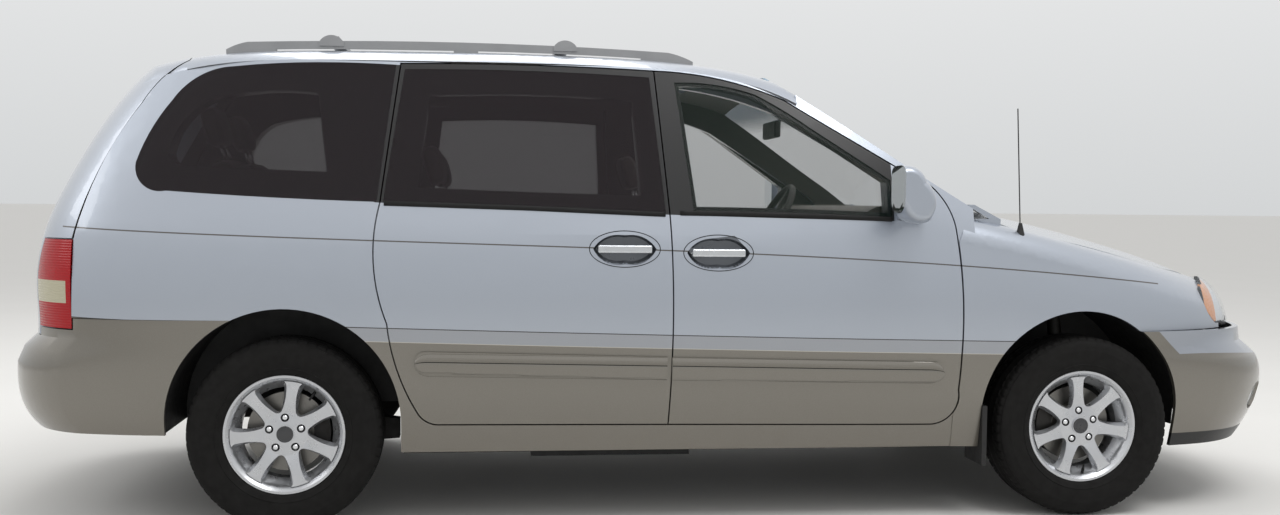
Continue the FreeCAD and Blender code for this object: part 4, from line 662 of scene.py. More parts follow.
for end in ("front", "rear"):
    for name, _ in SIDES:
        NODE_FINISH[f"tyre_{end}_{name}"] = RUBBER
        NODE_FINISH[f"rim_{end}_{name}"] = ALLOY
        NODE_FINISH[f"brake_disc_{end}_{name}"] = CAST_IRON

# Edges sharper than this are drawn as edges
CREASE = math.radians(32)


def faces_of(node):
    """Centres and normals of a CAD node's faces, as arrays."""
    mesh = NODES[node].data
    centres = np.empty(3 * len(mesh.polygons))
    normals = np.empty(3 * len(mesh.polygons))
    mesh.polygons.foreach_get("center", centres)
    mesh.polygons.foreach_get("normal", normals)
    return centres.reshape(-1, 3), normals.reshape(-1, 3)


def give(node, chosen, material):
    """A second finish for the chosen faces of a CAD node."""
    mesh = NODES[node].data
    mesh.materials.append(material)
    index = np.empty(len(mesh.polygons), np.int32)
    mesh.polygons.foreach_get("material_index", index)
    index[chosen] = len(mesh.materials) - 1
    mesh.polygons.foreach_set("material_index", index)


for name, node in NODES.items():
    node.data.materials.clear()
    node.data.materials.append(NODE_FINISH[name])
    count = len(node.data.polygons)
    node.data.polygons.foreach_set("material_index", np.zeros(count, np.int32))
    node.data.polygons.foreach_set("use_smooth", np.ones(count, bool))
    weld = node.modifiers.new("weld", "WELD")
    weld.merge_threshold = 2e-5
    split = node.modifiers.new("crease", "EDGE_SPLIT")
    split.split_angle = CREASE
    split.use_edge_sharp = False
    node.modifiers.new("even", "WEIGHTED_NORMAL")

# Window frames are black where the glass lies over them, and doors and panels are trimmed inside
for name, side in SIDES:
    for node, rows in ((f"front_door_{name}", FRONT_WINDOW), (f"sliding_door_{name}", SLIDING_WINDOW),
                       (f"body_side_{name}", QUARTER_WINDOW)):
        centres, normals = faces_of(node)
        held = inside(centres[:, [0, 2]], moved_out(outline(rows), 0.001))
        inward = normals[:, 1] * side < -0.35
        give(node, held & ~inward, GLOSS_BLACK)
        give(node, inward, CABIN_TRIM)
    centres, normals = faces_of(f"door_mirror_{name}")
    give(f"door_mirror_{name}", (normals[:, 0] < -0.97) & (centres[:, 0] < 0.7055), MIRROR_FACE)
    give(f"door_mirror_{name}", np.abs(centres[:, 1]) < 0.925, BLACK_PLASTIC)
# Faces that look into the cabin: an axis, the way along it, and the least share of the normal
for node, axis, way, least, material in (("roof", 2, -1, 0.3, HEADLINER), ("tailgate", 0, 1, 0.5, GREY_TRIM),
                                         ("floor_pan", 2, 1, 0.6, CARPET)):
    give(node, faces_of(node)[1][:, axis] * way > least, material)

# Stage: pale floor, pale surroundings and soft lamps

FLOOR_HEX = "ECEBE8"
WORLD_LOW = "D3D5D6"
WORLD_HIGH = "FFFFFF"
FLOOR_REACH = 300.0
LAMP_SIZE = 4.0


def build_stage():
    """A pale floor that meets pale surroundings, which are a little darker near the horizon."""
    floor = Finish("studio_floor", FLOOR_HEX, 0.85)
    floor.vary(900.0, 0.2, "DAD9D5")
    far = FLOOR_REACH
    mesh = bpy.data.meshes.new("floor")
    mesh.from_pydata([(-far, -far, 0), (far, -far, 0), (far, far, 0), (-far, far, 0)], [], [(0, 1, 2, 3)])
    mesh.materials.append(floor.material)
    piece = bpy.data.objects.new("floor", mesh)
    bpy.context.scene.collection.objects.link(piece)
    world = bpy.data.worlds.new("studio")
    bpy.context.scene.world = world
    world.use_nodes = True
    tree = world.node_tree
    place = add(tree, "ShaderNodeTexCoord").outputs["Generated"]
    height = add(tree, "ShaderNodeSeparateXYZ", {0: place}).outputs[2]
    share = add(tree, "ShaderNodeMapRange", {0: height, 1: 0.0, 2: 0.45}).outputs[0]
    tree.links.new(blend_colour(tree, share, linear(WORLD_LOW), linear(WORLD_HIGH)),
                   tree.nodes["Background"].inputs["Color"])
    rays = add(tree, "ShaderNodeLightPath").outputs
    seen = maths(tree, "MAXIMUM", rays["Is Camera Ray"], rays["Is Glossy Ray"])
    seen = maths(tree, "MAXIMUM", seen, rays["Is Transmission Ray"])
    strength = add(tree, "ShaderNodeMapRange", {0: seen, 3: 0.70, 4: 1.0}).outputs[0]
    tree.links.new(strength, tree.nodes["Background"].inputs["Strength"])
    # Place and watts of each soft lamp, which looks at the middle of the body
    for name, place, watts in (("key", (2.2, -3.6, 8.0), 260.0), ("fill", (-7.5, -1.0, 5.5), 90.0),
                               ("back", (-1.0, 4.5, 8.0), 160.0)):
        data = bpy.data.lights.new(name, "AREA")
        data.energy = watts
        data.size = LAMP_SIZE
        lamp = bpy.data.objects.new(name, data)
        bpy.context.scene.collection.objects.link(lamp)
        look = Vector((0.0, 0.0, 0.8)) - Vector(place)
        lamp.matrix_world = Matrix.Translation(place) @ look.to_track_quat("-Z", "Y").to_matrix().to_4x4()


build_stage()

# Wheels

AXLES = (("front", 1.480), ("rear", -1.430))
WHEEL_Y = 0.810
TYRE_RADIUS = 0.336
TREAD_STEPS = 360
TREAD_BLOCKS = 60
# Grooves round the tread, as (distance from its middle, half width), and how deep each sort of cut is
GROOVES = ((0.0578, 0.0025), (0.026, 0.0055))
GROOVE_DEPTH, SHOULDER_CUT_DEPTH, BLOCK_CUT_DEPTH = 0.008, 0.005, 0.004
# Radius and distance outwards of the tyre's outside, from the bead over the tread's edge
TYRE_WALL = [(0.2095, 0.0885), (0.2140, 0.0955), (0.2200, 0.0985), (0.2300, 0.1020), (0.2330, 0.1046),
             (0.2350, 0.1030), (0.2500, 0.1062), (0.2680, 0.1072), (0.2840, 0.1070), (0.2860, 0.1074),
             (0.2880, 0.1066), (0.3000, 0.1058), (0.3120, 0.1032), (0.3200, 0.0985)]


def tyre(name, x, side, body):
    """Radial tyre. The walls are a profile turned round the axle. Over the tread the radius is the crown's
    less 8 mm at each of four grooves round the tyre, less 5 mm at each of 60 slanting cuts through the
    shoulder blocks, and less 4 mm at the cuts through the blocks between the grooves."""
    tread_s = np.concatenate([np.linspace(0.0940, 0.0620, 7),
                              [0.0600, 0.0555, 0.0480, 0.0400, 0.0310, 0.0290, 0.0230, 0.0210, 0.0100]])
    half_s = np.concatenate([[s for _, s in TYRE_WALL], tread_s])
    shoulder = np.clip((tread_s - 0.080) / 0.014, 0, 1)
    crown = TYRE_RADIUS - 0.0045 * (tread_s / 0.094) ** 2 - 0.012 * shoulder ** 2
    half_r = np.concatenate([[r for r, _ in TYRE_WALL], crown])
    s = np.concatenate([half_s, [0.0], -half_s[::-1]])
    r = np.concatenate([half_r, [TYRE_RADIUS], half_r[::-1]])
    inner_s = np.array([-0.080, -0.092, -0.070, 0.070, 0.092, 0.080])
    inner_r = np.array([0.2090, 0.262, 0.318, 0.318, 0.262, 0.2090])
    s, r = np.concatenate([s, inner_s]), np.concatenate([r, inner_r])
    turn = np.linspace(0, 2 * math.pi, TREAD_STEPS, endpoint=False)
    spread, around = np.meshgrid(s, turn)
    radius = np.broadcast_to(r, spread.shape).copy()
    off = np.abs(spread)
    tread = (off < 0.0945) & (radius > 0.324)
    phase = (around * TREAD_BLOCKS / (2 * math.pi) + off * 9.0) % 1.0
    cuts = ((np.any([np.abs(off - at) < half for at, half in GROOVES], axis=0), GROOVE_DEPTH),
            ((off > 0.062) & (phase < 0.17), SHOULDER_CUT_DEPTH),
            ((off > 0.031) & (off < 0.055) & ((phase + 0.5) % 1.0 < 0.20), BLOCK_CUT_DEPTH))
    for held, depth in cuts:
        radius[tread & held] -= depth
    grid = np.stack([x + radius * np.sin(around), side * (WHEEL_Y + spread),
                     TYRE_RADIUS + radius * np.cos(around)], -1)
    faces = sheet_faces(TREAD_STEPS, len(s), True, True)
    piece = put_mesh(name, grid, faces, body, "tyre", RUBBER)
    clean(piece)
    edge = piece.modifiers.new("crease", "EDGE_SPLIT")
    edge.split_angle = math.radians(40)
    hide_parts(name.replace("dressed_", ""))


LUG_CIRCLE = 0.05715
LUG_POCKET = 0.0150
# How far the rims are turned round their axles, and the valve's place from there
WHEEL_TURN = {"front": math.radians(-5.0), "rear": math.radians(-145.0)}
VALVE_ANGLE = math.radians(180.0)
VALVE_RADIUS = 0.178


def wheel_dressing(label, x, side, body, turn):
    """Domed lug nuts in their pockets, which are darkened with painted shade, the blank centre cap and the
    valve.
    """
    centre = np.array((x, side * WHEEL_Y, TYRE_RADIUS))
    out = np.array((0, side, 0))
    centres, normals = faces_of(f"rim_{label}")
    outwards = (centres[:, 1] - centre[1]) * side
    parts = []
    nut = [(0, 0.0725), (0.0045, 0.0720), (0.0080, 0.0700), (0.0100, 0.0670), (0.0108, 0.0640),
           (0.0108, 0.0560), (0.0120, 0.0550), (0.0120, 0.0525), (0, 0.0525)]
    pocket = np.zeros(len(centres), bool)
    for i in range(5):
        angle = turn + 2 * math.pi * i / 5
        at = centre + np.array((LUG_CIRCLE * math.sin(angle), 0, LUG_CIRCLE * math.cos(angle)))
        parts.append(turned(nut, at, out, 24))
        away = np.hypot(centres[:, 0] - at[0], centres[:, 2] - at[2])
        pocket |= (away < LUG_POCKET) & (outwards > 0.045) & ((np.abs(normals[:, 1]) < 0.5) | (away < 0.013))
    # Painted shade in the lug pockets
    give(f"rim_{label}", pocket, LUG_POCKET_PAINTED_SHADE)
    clean(put_mesh(f"lug_nuts_{label}", *join(parts), body, "alloy", CHROME))
    cap = [(0, 0.0775), (0.010, 0.0775), (0.020, 0.0772), (0.0225, 0.0765), (0.0235, 0.0775),
           (0.0275, 0.0775), (0.0290, 0.0768), (0.0290, 0.0745), (0, 0.0745)]
    cap = turned(cap, centre, out, 40)
    clean(put_mesh(f"centre_cap_{label}", *cap, body, "black_plastic", DARK_CAP))
    angle = turn + VALVE_ANGLE
    foot = centre + np.array((VALVE_RADIUS * math.sin(angle), side * 0.066, VALVE_RADIUS * math.cos(angle)))
    inwards = (centre - foot) * np.array((1, 0, 1)) / VALVE_RADIUS
    stem = [(0, 0.036), (0.0035, 0.036), (0.0040, 0.030), (0.0040, 0.020), (0.0058, 0.016),
            (0.0062, 0.0), (0, 0)]
    stem = turned(stem, foot, inwards + out * 0.55, 12)
    clean(put_mesh(f"valve_{label}", *stem, body, "tyre", SEAL))


DARK_CAP = plain("dark_cap_plastic", "2A2B2E", 0.30, grain=(20.0, 0.02), Coat_Weight=0.5)
for end, x in AXLES:
    for name, side in SIDES:
        body = f"wheel_{end}_{name}"
        tyre(f"dressed_tyre_{end}_{name}", x, side, body)
        wheel_dressing(f"{end}_{name}", x, side, body, WHEEL_TURN[end])

# Strips on the doors and windows

# Section of the strips under the windows, as rows of (out, up)
BELT_PROFILE = [(-0.004, -0.008), (0.004, -0.008), (0.006, -0.004), (0.006, 0.005), (0.003, 0.009),
                (-0.004, 0.009)]


def belt_seal(name, node, rows, side, body):
    """Rubber strip under a window, along a line on the door's outside. Each point's y is the mean of five
    neighbours', so that the strip runs evenly."""
    path = on_side(node, along_rows(rows, 40), side)
    path[:, 1] = np.convolve(np.pad(path[:, 1], 2, mode="edge"), np.ones(5) / 5, "valid")
    section = np.array(BELT_PROFILE)
    section[:, 0] *= np.sign(path[-1, 0] - path[0, 0]) * side * -1.0
    clean(put_mesh(name, *tube(path, section), body, "seal_rubber", SEAL))


FRONT_BELT = [(-0.050, 1.1185), (0.200, 1.1165), (0.480, 1.1115), (0.726, 1.1030)]
SLIDING_BELT = [(-1.092, 1.1430), (-0.600, 1.1310), (-0.104, 1.1130)]
# The rubbing strip: half its height, its middle line z = height + slope x, and the x of its ends
MOULDING_HALF = 0.0405
MOULDING_HEIGHT, MOULDING_SLOPE = 0.5635, -0.0200
MOULDING_ENDS = {"front": (-0.078, 0.926), "sliding": (-0.985, -0.097)}


def side_moulding(name, node, side, key, body):
    """Face of the rubbing strip on a door. Its height is 2 mm (1 - v^8) plus a roll near the top and less
    a groove under it, where v runs from -1 to 1 up the strip. At its free end its half height shrinks
    as a quarter of an ellipse does. Its edge lies in shadow."""
    start, end = MOULDING_ENDS[key]
    x = start + (end - start) * (1 - np.cos(np.linspace(0, math.pi, 90))) / 2
    v = np.concatenate([[-1.0], np.linspace(-0.985, 0.985, 27), [1.0]])
    free = end - x if key == "front" else x - start
    half = MOULDING_HALF * np.sqrt(np.clip(1 - np.clip(1 - free / 0.055, 0, 1) ** 2, 1e-4, 1))
    gx, gv = np.meshgrid(x, v, indexing="ij")
    gz = MOULDING_HEIGHT + MOULDING_SLOPE * gx + half[:, None] * gv
    skin = on_side(node, np.stack([gx.ravel(), gz.ravel()], 1), side)[:, 1].reshape(gx.shape)
    proud = 0.0020 * (1 - gv ** 8) + 0.0030 * np.exp(-((gv - 0.60) / 0.20) ** 2)
    proud -= 0.0022 * np.exp(-((gv - 0.26) / 0.07) ** 2)
    proud = (proud + 0.0004) * np.sqrt(np.clip(half / MOULDING_HALF, 0, 1))[:, None]
    grid = np.stack([gx, skin + side * proud, gz], -1)
    piece = put_mesh(name, grid, sheet_faces(len(x), len(v)).tolist(), body, "pewter_paint", PEWTER_PAINT)
    piece.data.materials.append(SEAL)
    # Painted shadow: the strip's edge and its groove take the dark rubber finish
    middle = (v[:-1] + v[1:]) / 2
    shadow = (np.abs(middle) > 0.955) | (np.abs(middle - 0.26) < 0.035)
    shadow = np.broadcast_to(shadow, (len(x) - 1, len(v) - 1))
    piece.data.polygons.foreach_set("material_index", shadow.ravel().astype(np.int32))


for name, side in SIDES:
    door, slider = f"front_door_{name}", f"sliding_door_{name}"
    belt_seal(f"front_belt_seal_{name}", door, FRONT_BELT, side, f"door_front_{name}")
    belt_seal(f"sliding_belt_seal_{name}", slider, SLIDING_BELT, side, "vehicle")
    side_moulding(f"front_moulding_{name}", door, side, "front", f"door_front_{name}")
    side_moulding(f"sliding_moulding_{name}", slider, side, "sliding", "vehicle")

# Door handles: x and z of the middle of each pocket, and half its length and height

HANDLE_POCKETS = {"front": (0.085, 0.978), "sliding": (-0.251, 0.990)}
POCKET_HALF = (0.119, 0.057)


def handle_dressing(name, node, side, key, body):
    """Finishes of a door handle, with painted shade in its pocket, and a dark ring on an ellipse round the
    pocket: a painted shadow of the gap round the handle's plate.
    """
    x, z = HANDLE_POCKETS[key]
    centres = faces_of(node)[0]
    skin = abs(on_side(node, [(x - POCKET_HALF[0] - 0.012, z)], side)[0, 1])
    dx, dz = centres[:, 0] - x, centres[:, 2] - z
    held = (dx / (POCKET_HALF[0] + 0.003)) ** 2 + (dz / (POCKET_HALF[1] + 0.003)) ** 2 < 1
    deep = skin - np.abs(centres[:, 1])
    bar = held & (np.abs(dz) < 0.0145) & (np.abs(dx) < 0.097) & (deep < 0.0035)
    # The pocket's walls and floor are darkened with painted shade
    give(node, held & ~bar & (deep > 0.002) & (deep < 0.030), HANDLE_POCKET_PAINTED_SHADE)
    give(node, bar, HANDLE_SILVER)
    # A thin dark ring stands in for the shadow in the gap round the handle's plate
    t = np.linspace(0, 2 * math.pi, 97)[:-1]
    rows = np.stack([x + (POCKET_HALF[0] + 0.007) * np.cos(t), z + (POCKET_HALF[1] + 0.007) * np.sin(t)], 1)
    path = on_side(node, rows, side, 0.0004)
    ring = [path + side * np.array((0, a, 0)) + np.stack([np.cos(t) * b, 0 * t, np.sin(t) * b], 1)
            for a, b in ((-0.0015, -0.0018), (0.0008, -0.0012), (0.0008, 0.0012), (-0.0015, 0.0018))]
    grid = np.stack(ring, 1)
    clean(put_mesh(name, grid, sheet_faces(96, 4, True, True).tolist(), body, "seal_rubber", SEAL))


for name, side in SIDES:
    handle_dressing(f"front_handle_gasket_{name}", f"front_door_{name}", side, "front", f"door_front_{name}")
    handle_dressing(f"sliding_handle_gap_shadow_{name}", f"sliding_door_{name}", side, "sliding", "vehicle")

# Small panels that close openings

# The x of the roof's and body side's skins ahead of the corner
CORNER_X = -1.776


def corner_filler(label, side):
    """Panel at the corner between the roof, the body side and the tailgate. It lies 1.5 mm under straight
    lines in x from the skin ahead of the corner to the tailgate's, and ends 6 mm short of the tailgate."""
    rows = []
    for z in np.linspace(1.598, 1.656, 12):
        met = [from_side(node, CORNER_X, z, side) for node in ("roof", f"body_side_{label}")]
        ahead = max(abs(p.y) for p in met if p)
        edge = CORNER_X
        while not from_side("tailgate", edge, z, side):
            edge -= 0.0015
        behind = abs(from_side("tailgate", edge - 0.010, z, side).y)
        x = np.linspace(CORNER_X, edge + 0.006, 10)
        y = ahead + (behind - ahead) * (x - CORNER_X) / (edge - 0.010 - CORNER_X) - 0.0015
        rows.append(np.stack([x, side * y, np.full(10, z)], 1))
    panel = slab(np.array(rows), (0, -side * 0.010, 0))
    clean(put_mesh(f"roof_corner_{label}", *panel, "vehicle", "silver_paint", SILVER_PAINT))


for label, side in SIDES:
    corner_filler(label, side)

# Heights of the bumper just under and just over the opening
INTAKE_Z = (0.322, 0.490)


def intake():
    """Lower intake: bars on the bumper's own curve, upright ribs between them, and a dark screen behind."""
    y = np.linspace(-0.52, 0.52, 53)
    low, high = (np.array([from_end("front_bumper", v, z, 1).x for v in y]) for z in INTAKE_Z)
    tall = INTAKE_Z[1] - INTAKE_Z[0]

    def behind_face(z, back):
        """Row of points at a height, behind the straight line between the bumper's two edges."""
        return np.stack([low + (high - low) * (z - INTAKE_Z[0]) / tall - back, y, np.full(len(y), z)], 1)

    bars = [tube(behind_face(z, 0.020), oval(0.007, 0.0032, 10)) for z in np.linspace(0.346, 0.464, 6)]
    upright = np.stack([behind_face(z, 0.022) for z in np.linspace(0.318, 0.488, 9)])
    bars += [tube(upright[:, k], oval(0.0028, 0.006, 8), up=(1, 0, 0)) for k in range(2, 52, 4)]
    clean(put_mesh("intake_grid", *join(bars), "vehicle", "black_plastic", BLACK_PLASTIC))
    duct = ((0.314, 0.010), (0.316, 0.030), (0.318, 0.052), (0.400, 0.052), (0.486, 0.052), (0.490, 0.030))
    screen = np.stack([behind_face(z, back) for z, back in duct], 1)
    clean(put_mesh("intake_screen", *slab(screen, (-0.003, 0, 0)), "vehicle", "black_plastic", SEAL))


intake()

# Lamps

# Place (x, y) of the standing line that rays to a main lamp aim at, and how far from it they start
LAMP_AXIS = (2.05, 0.52)
LAMP_RAY = 0.7
# Degrees round that line, from straight ahead, where the amber lens starts
AMBER_FROM = 74.8
# Middle (y, z), radius and depth of each bowl
MAIN_BOWL = (0.575, 0.797, 0.062, 0.055)
FOG_BOWL = (0.690, 0.420, 0.052, 0.034)


def lamp_liner(name, met, outwards, bowls):
    """Reflector inside a lamp, from a grid of points where rays meet its lens. It lies 9 mm behind them,
    and deeper by the paraboloid depth (1 - r^2 / R^2) round each bowl's middle. Its rim is black."""
    held = ~np.isnan(met[..., 0])
    inset = met.copy()
    inset[..., :2] -= outwards * 0.009
    for y, z, radius, depth in bowls:
        r2 = ((np.abs(met[..., 1]) - y) ** 2 + (met[..., 2] - z) ** 2) / radius ** 2
        inset[..., 0] -= depth * np.clip(1 - np.nan_to_num(r2, nan=9.0), 0, 1)
    whole = held[:-1, :-1] & held[1:, :-1] & held[:-1, 1:] & held[1:, 1:]
    faces = sheet_faces(*held.shape)[whole.ravel()]
    used = np.unique(faces)
    index = np.full(held.size, -1)
    index[used] = np.arange(len(used))
    piece = put_mesh(name, inset.reshape(-1, 3)[used], index[faces].tolist(), "vehicle", "silver_plastic",
                     REFLECTOR)
    rim = np.ones_like(whole)
    rim[1:-1, 1:-1] = ~(whole[:-2, 1:-1] & whole[2:, 1:-1] & whole[1:-1, :-2] & whole[1:-1, 2:])
    middle = (met[:-1, :-1] + met[1:, 1:]) / 2
    round_axis = np.arctan2(np.abs(middle[..., 1]) - LAMP_AXIS[1], middle[..., 0] - LAMP_AXIS[0])
    amber = np.degrees(round_axis) > AMBER_FROM
    finish = np.where(rim, 2, np.where(amber, 1, 0))[whole].astype(np.int32)
    piece.data.materials.append(AMBER)
    piece.data.materials.append(SEAL)
    piece.data.polygons.foreach_set("material_index", finish)
    return piece


BULB = [(0, 0.036), (0.0045, 0.0345), (0.0075, 0.030), (0.0085, 0.022), (0.0085, 0.002), (0.013, 0.0), (0, 0)]


def towards_axis(dx, dy, side, z):
    """Where a level ray towards a lamp's standing line meets the lens."""
    start = (LAMP_AXIS[0] + LAMP_RAY * dx, side * LAMP_AXIS[1] + LAMP_RAY * dy, z)
    return hit("headlamps", start, (-dx, -dy, 0))


def head_lamp(name, side):
    """Main lamp: rays from outside towards a standing line behind it, at even angles and heights."""
    angles = np.radians(np.linspace(-14, 96, 84))
    heights = np.linspace(0.7085, 0.8795, 48)
    met = np.full((len(angles), len(heights), 3), np.nan)
    away = np.stack([np.cos(angles), side * np.sin(angles)], 1)
    axis_x, axis_y = LAMP_AXIS[0], side * LAMP_AXIS[1]
    for i, (dx, dy) in enumerate(away):
        for j, z in enumerate(heights):
            found = towards_axis(dx, dy, side, z)
            if found and (found.x - axis_x) * dx + (found.y - axis_y) * dy > 0.01:
                met[i, j] = found
    outwards = np.broadcast_to(away[:, None], (len(angles), len(heights), 2))
    lamp_liner(f"head_lamp_reflector_{name}", met, outwards, (MAIN_BOWL,))
    y, z = side * MAIN_BOWL[0], MAIN_BOWL[1]
    bulb = turned(BULB, (from_end("headlamps", y, z, 1).x - 0.064, y, z), (1, 0, 0), 16)
    clean(put_mesh(f"head_lamp_bulb_{name}", *bulb, "vehicle", "lamp_lens", BULB_GLASS))


def fog_lamp(name, side):
    """Round lamp in the bumper: a bright bowl, met by rays on a grid of rings."""
    radii, turns = np.meshgrid(np.linspace(0.001, 0.0525, 12), np.linspace(0, 2 * math.pi, 41), indexing="ij")
    met = np.full(radii.shape + (3,), np.nan)
    for i, j in np.ndindex(radii.shape):
        y = side * FOG_BOWL[0] + radii[i, j] * math.sin(turns[i, j])
        z = FOG_BOWL[1] + radii[i, j] * math.cos(turns[i, j])
        found = from_end("headlamps", y, z, 1)
        if found:
            met[i, j] = found
    outwards = np.broadcast_to(np.array((1.0, 0.0)), radii.shape + (2,))
    piece = lamp_liner(f"fog_lamp_reflector_{name}", met, outwards, (FOG_BOWL,))
    piece.data.polygons.foreach_set("material_index", np.zeros(len(piece.data.polygons), np.int32))
    clean(piece)


def lamp_gasket(name, side):
    """Rubber strip that closes the gap between the lamp and the bumper under it."""
    path = []
    for angle in np.radians(np.linspace(-12, 78, 40)):
        dx, dy = math.cos(angle), side * math.sin(angle)
        found = towards_axis(dx, dy, side, 0.7095)
        if found and abs(found.y) > 0.42:
            path.append((found.x - 0.012 * dx, found.y - 0.012 * dy, 0.7005))
    strip = tube(path, oval(0.0095, 0.0078, 10))
    clean(put_mesh(f"head_lamp_gasket_{name}", *strip, "vehicle", "seal_rubber", SEAL))


for name, side in SIDES:
    head_lamp(name, side)
    fog_lamp(name, side)
    lamp_gasket(name, side)

RADIATOR_BACK, RADIATOR_FRONT = 2.185, 2.205


def radiator():
    """Core behind the grille: a panel whose front is folded into upright fins 4 mm apart."""
    y = np.linspace(-0.375, 0.375, 376)
    z = np.linspace(0.548, 0.815, 12)
    gy, gz = np.meshgrid(y, z, indexing="ij")
    gx = RADIATOR_FRONT + 0.002 * np.where(np.arange(len(y)) % 2, 1.0, -1.0)[:, None] + 0.0 * gz
    front = np.stack([gx, gy, gz], -1)
    back = np.stack([gx * 0 + RADIATOR_BACK, gy, gz], -1)
    faces = sheet_faces(*gy.shape)
    core = join([(front, faces.tolist()), (back, faces[:, ::-1].tolist())])
    put_mesh("radiator_core", *core, "vehicle", "engine_metal", RADIATOR, smooth=False)


radiator()


def rear_wiper():
    """Arm and blade on the tailgate glass: two tubes that follow the glass 16 mm and 8 mm off it."""

    def over_glass(start, end, off, count):
        """Points over the glass at even steps between two (y, z) places."""
        rows = np.linspace(start, end, count)
        return np.array([(from_end("tailgate_glass", y, z, -1).x - off, y, z) for y, z in rows])

    arm = over_glass((0.02, 1.165), (-0.20, 1.235), 0.016, 14)
    blade = over_glass((0.10, 1.195), (-0.40, 1.262), 0.008, 24)
    pivot = [(0, 0.022), (0.012, 0.021), (0.018, 0.015), (0.020, 0.0), (0, 0.0)]
    foot = from_end("tailgate_glass", 0.02, 1.165, -1)
    parts = [tube(arm, oval(0.008, 0.004, 10)), tube(blade, oval(0.0055, 0.007, 10)),
             turned(pivot, foot, (-1, 0, -0.42), 24)]
    clean(put_mesh("rear_wiper", *join(parts), "rear_gate", "black_plastic", BLACK_PLASTIC))
    lamp = tube(over_glass((-0.13, 1.594), (0.13, 1.594), 0.004, 20), oval(0.006, 0.013, 12))
    clean(put_mesh("high_brake_lamp", *lamp, "rear_gate", "red_lens", TAIL_LENS))


rear_wiper()

# Seats: x of the back, y, width and floor height of each, in metres, as the part has them

SEATS = {"front_seats": [(0.040, y, 0.520, 0.300) for y in (0.390, -0.390)],
         "second_row_seats": [(-0.800, y, 0.500, 0.300) for y in (0.390, -0.390)],
         "third_row_bench": [(-1.640, y, 0.500, 0.440) for y in (0.262, -0.262)]}
BACK_LEAN = math.radians(16)
PAD_STEPS = 30
# Share of a pad's half width where its side bolsters start, and over which they rise
BOLSTER_FROM, BOLSTER_RISE = 0.50, 0.22


def pad_points(half, crown, bolster, seams, power=5.0):
    """Stuffed pad about the origin: X its thickness, Y its width, Z its length.

    A cube's grid is rounded to |x|^p + |y|^p + |z|^p = 1. Its front then swells by a crown
    (1 - y^2)(1 - z^2), rises at the side bolsters and sinks at each sewn seam, and its sides pull in
    between the corners."""
    t = np.sin(np.linspace(-1, 1, PAD_STEPS) * math.pi / 2)
    u, v = np.meshgrid(t, t, indexing="ij")
    parts = []
    for axis in range(3):
        for sign in (-1.0, 1.0):
            q = np.empty((PAD_STEPS, PAD_STEPS, 3))
            q[..., axis] = sign
            q[..., (axis + 1) % 3], q[..., (axis + 2) % 3] = u, v
            q /= (np.abs(q) ** power).sum(-1, keepdims=True) ** (1 / power)
            parts.append((q.reshape(-1, 3), sheet_faces(PAD_STEPS, PAD_STEPS).tolist()))
    q, faces = join(parts)
    x, y, z = q.T
    front = np.clip(x, 0, 1) ** 2
    lift = crown * (1 - y ** 2) * (1 - z ** 2)
    step = np.clip((np.abs(y) - BOLSTER_FROM) / BOLSTER_RISE, 0, 1)
    lift += bolster * step ** 2 * (3 - 2 * step) * (1 - z ** 6)
    lift -= 0.007 * np.exp(-((np.abs(y) - BOLSTER_FROM) / 0.022) ** 2) * (bolster > 0)
    for at in seams:
        lift -= 0.005 * np.exp(-((z - at) / 0.014) ** 2) * (np.abs(y) < BOLSTER_FROM)
    hx, hy, hz = half
    points = np.stack([x * hx + front * lift, y * hy * (1 - 0.035 * (1 - z ** 2) * (1 - np.abs(x))),
                       z * hz * (1 - 0.02 * (1 - y ** 2))], 1)
    return points, faces


def placed(points, turn, place):
    """Points turned by a 3 x 3 array and moved."""
    return points @ np.array(turn).T + np.array(place)


def pad(name, points, faces):
    """A padded piece in seat cloth."""
    piece = clean(put_mesh(name, points, faces, "vehicle", "seat_cloth", SEAT_CLOTH), 1e-4)
    return piece


def seat(label, x, y, width, floor):
    """Cushion, backrest and head restraint of one seat, with the posts and the base under it."""
    c, s = math.cos(BACK_LEAN), math.sin(BACK_LEAN)
    lean = ((c, 0, -s), (0, 1, 0), (s, 0, c))
    half = width / 2
    points, faces = pad_points((0.068, half - 0.006, 0.232), 0.010, 0.022, (-0.45, 0.35))
    # A cushion lies flat: its thickness points up and its length forwards
    turned_up = placed(points, ((0, 0, 1), (0, 1, 0), (1, 0, 0)), (x + 0.262, y, floor + 0.219))
    pads = [pad(f"{label}_cushion", turned_up, faces)]
    points, faces = pad_points((0.048, half - 0.006, 0.304), 0.008, 0.020, (-0.42, 0.05, 0.50))
    centre = placed(np.array([[0.052, 0.0, 0.310]]), lean, (x + 0.020, y, floor + 0.260))[0]
    pads.append(pad(f"{label}_backrest", placed(points, lean, centre), faces))
    points, faces = pad_points((0.036, 0.132, 0.078), 0.007, 0.0, (), 3.6)
    centre = placed(np.array([[0.040, 0.0, 0.7475]]), lean, (x + 0.030, y, floor + 0.260))[0]
    pads.append(pad(f"{label}_head_restraint", placed(points, lean, centre), faces))
    posts = []
    rod = [(0, 0.0), (0.0065, 0.0), (0.0065, 0.090), (0, 0.090)]
    for dy in (-0.060, 0.060):
        ends = np.array([[0.045, dy, 0.600], [0.045, dy, 0.690]])
        foot, top = placed(ends, lean, (x + 0.030, y, floor + 0.260))
        posts.append(turned(rod, foot, top - foot, 16))
    clean(put_mesh(f"{label}_restraint_posts", *join(posts), "vehicle", "bare_steel", CHROME))
    points, faces = pad_points((0.190, half - 0.045, 0.078), 0.0, 0.0, (), 12.0)
    points[:, 0] *= 1 - 0.12 * points[:, 2] / 0.078
    points += np.array((x + 0.250, y, floor + 0.080))
    clean(put_mesh(f"{label}_base", points, faces, "vehicle", "black_plastic", DARK_TRIM), 1e-4)
    return pads


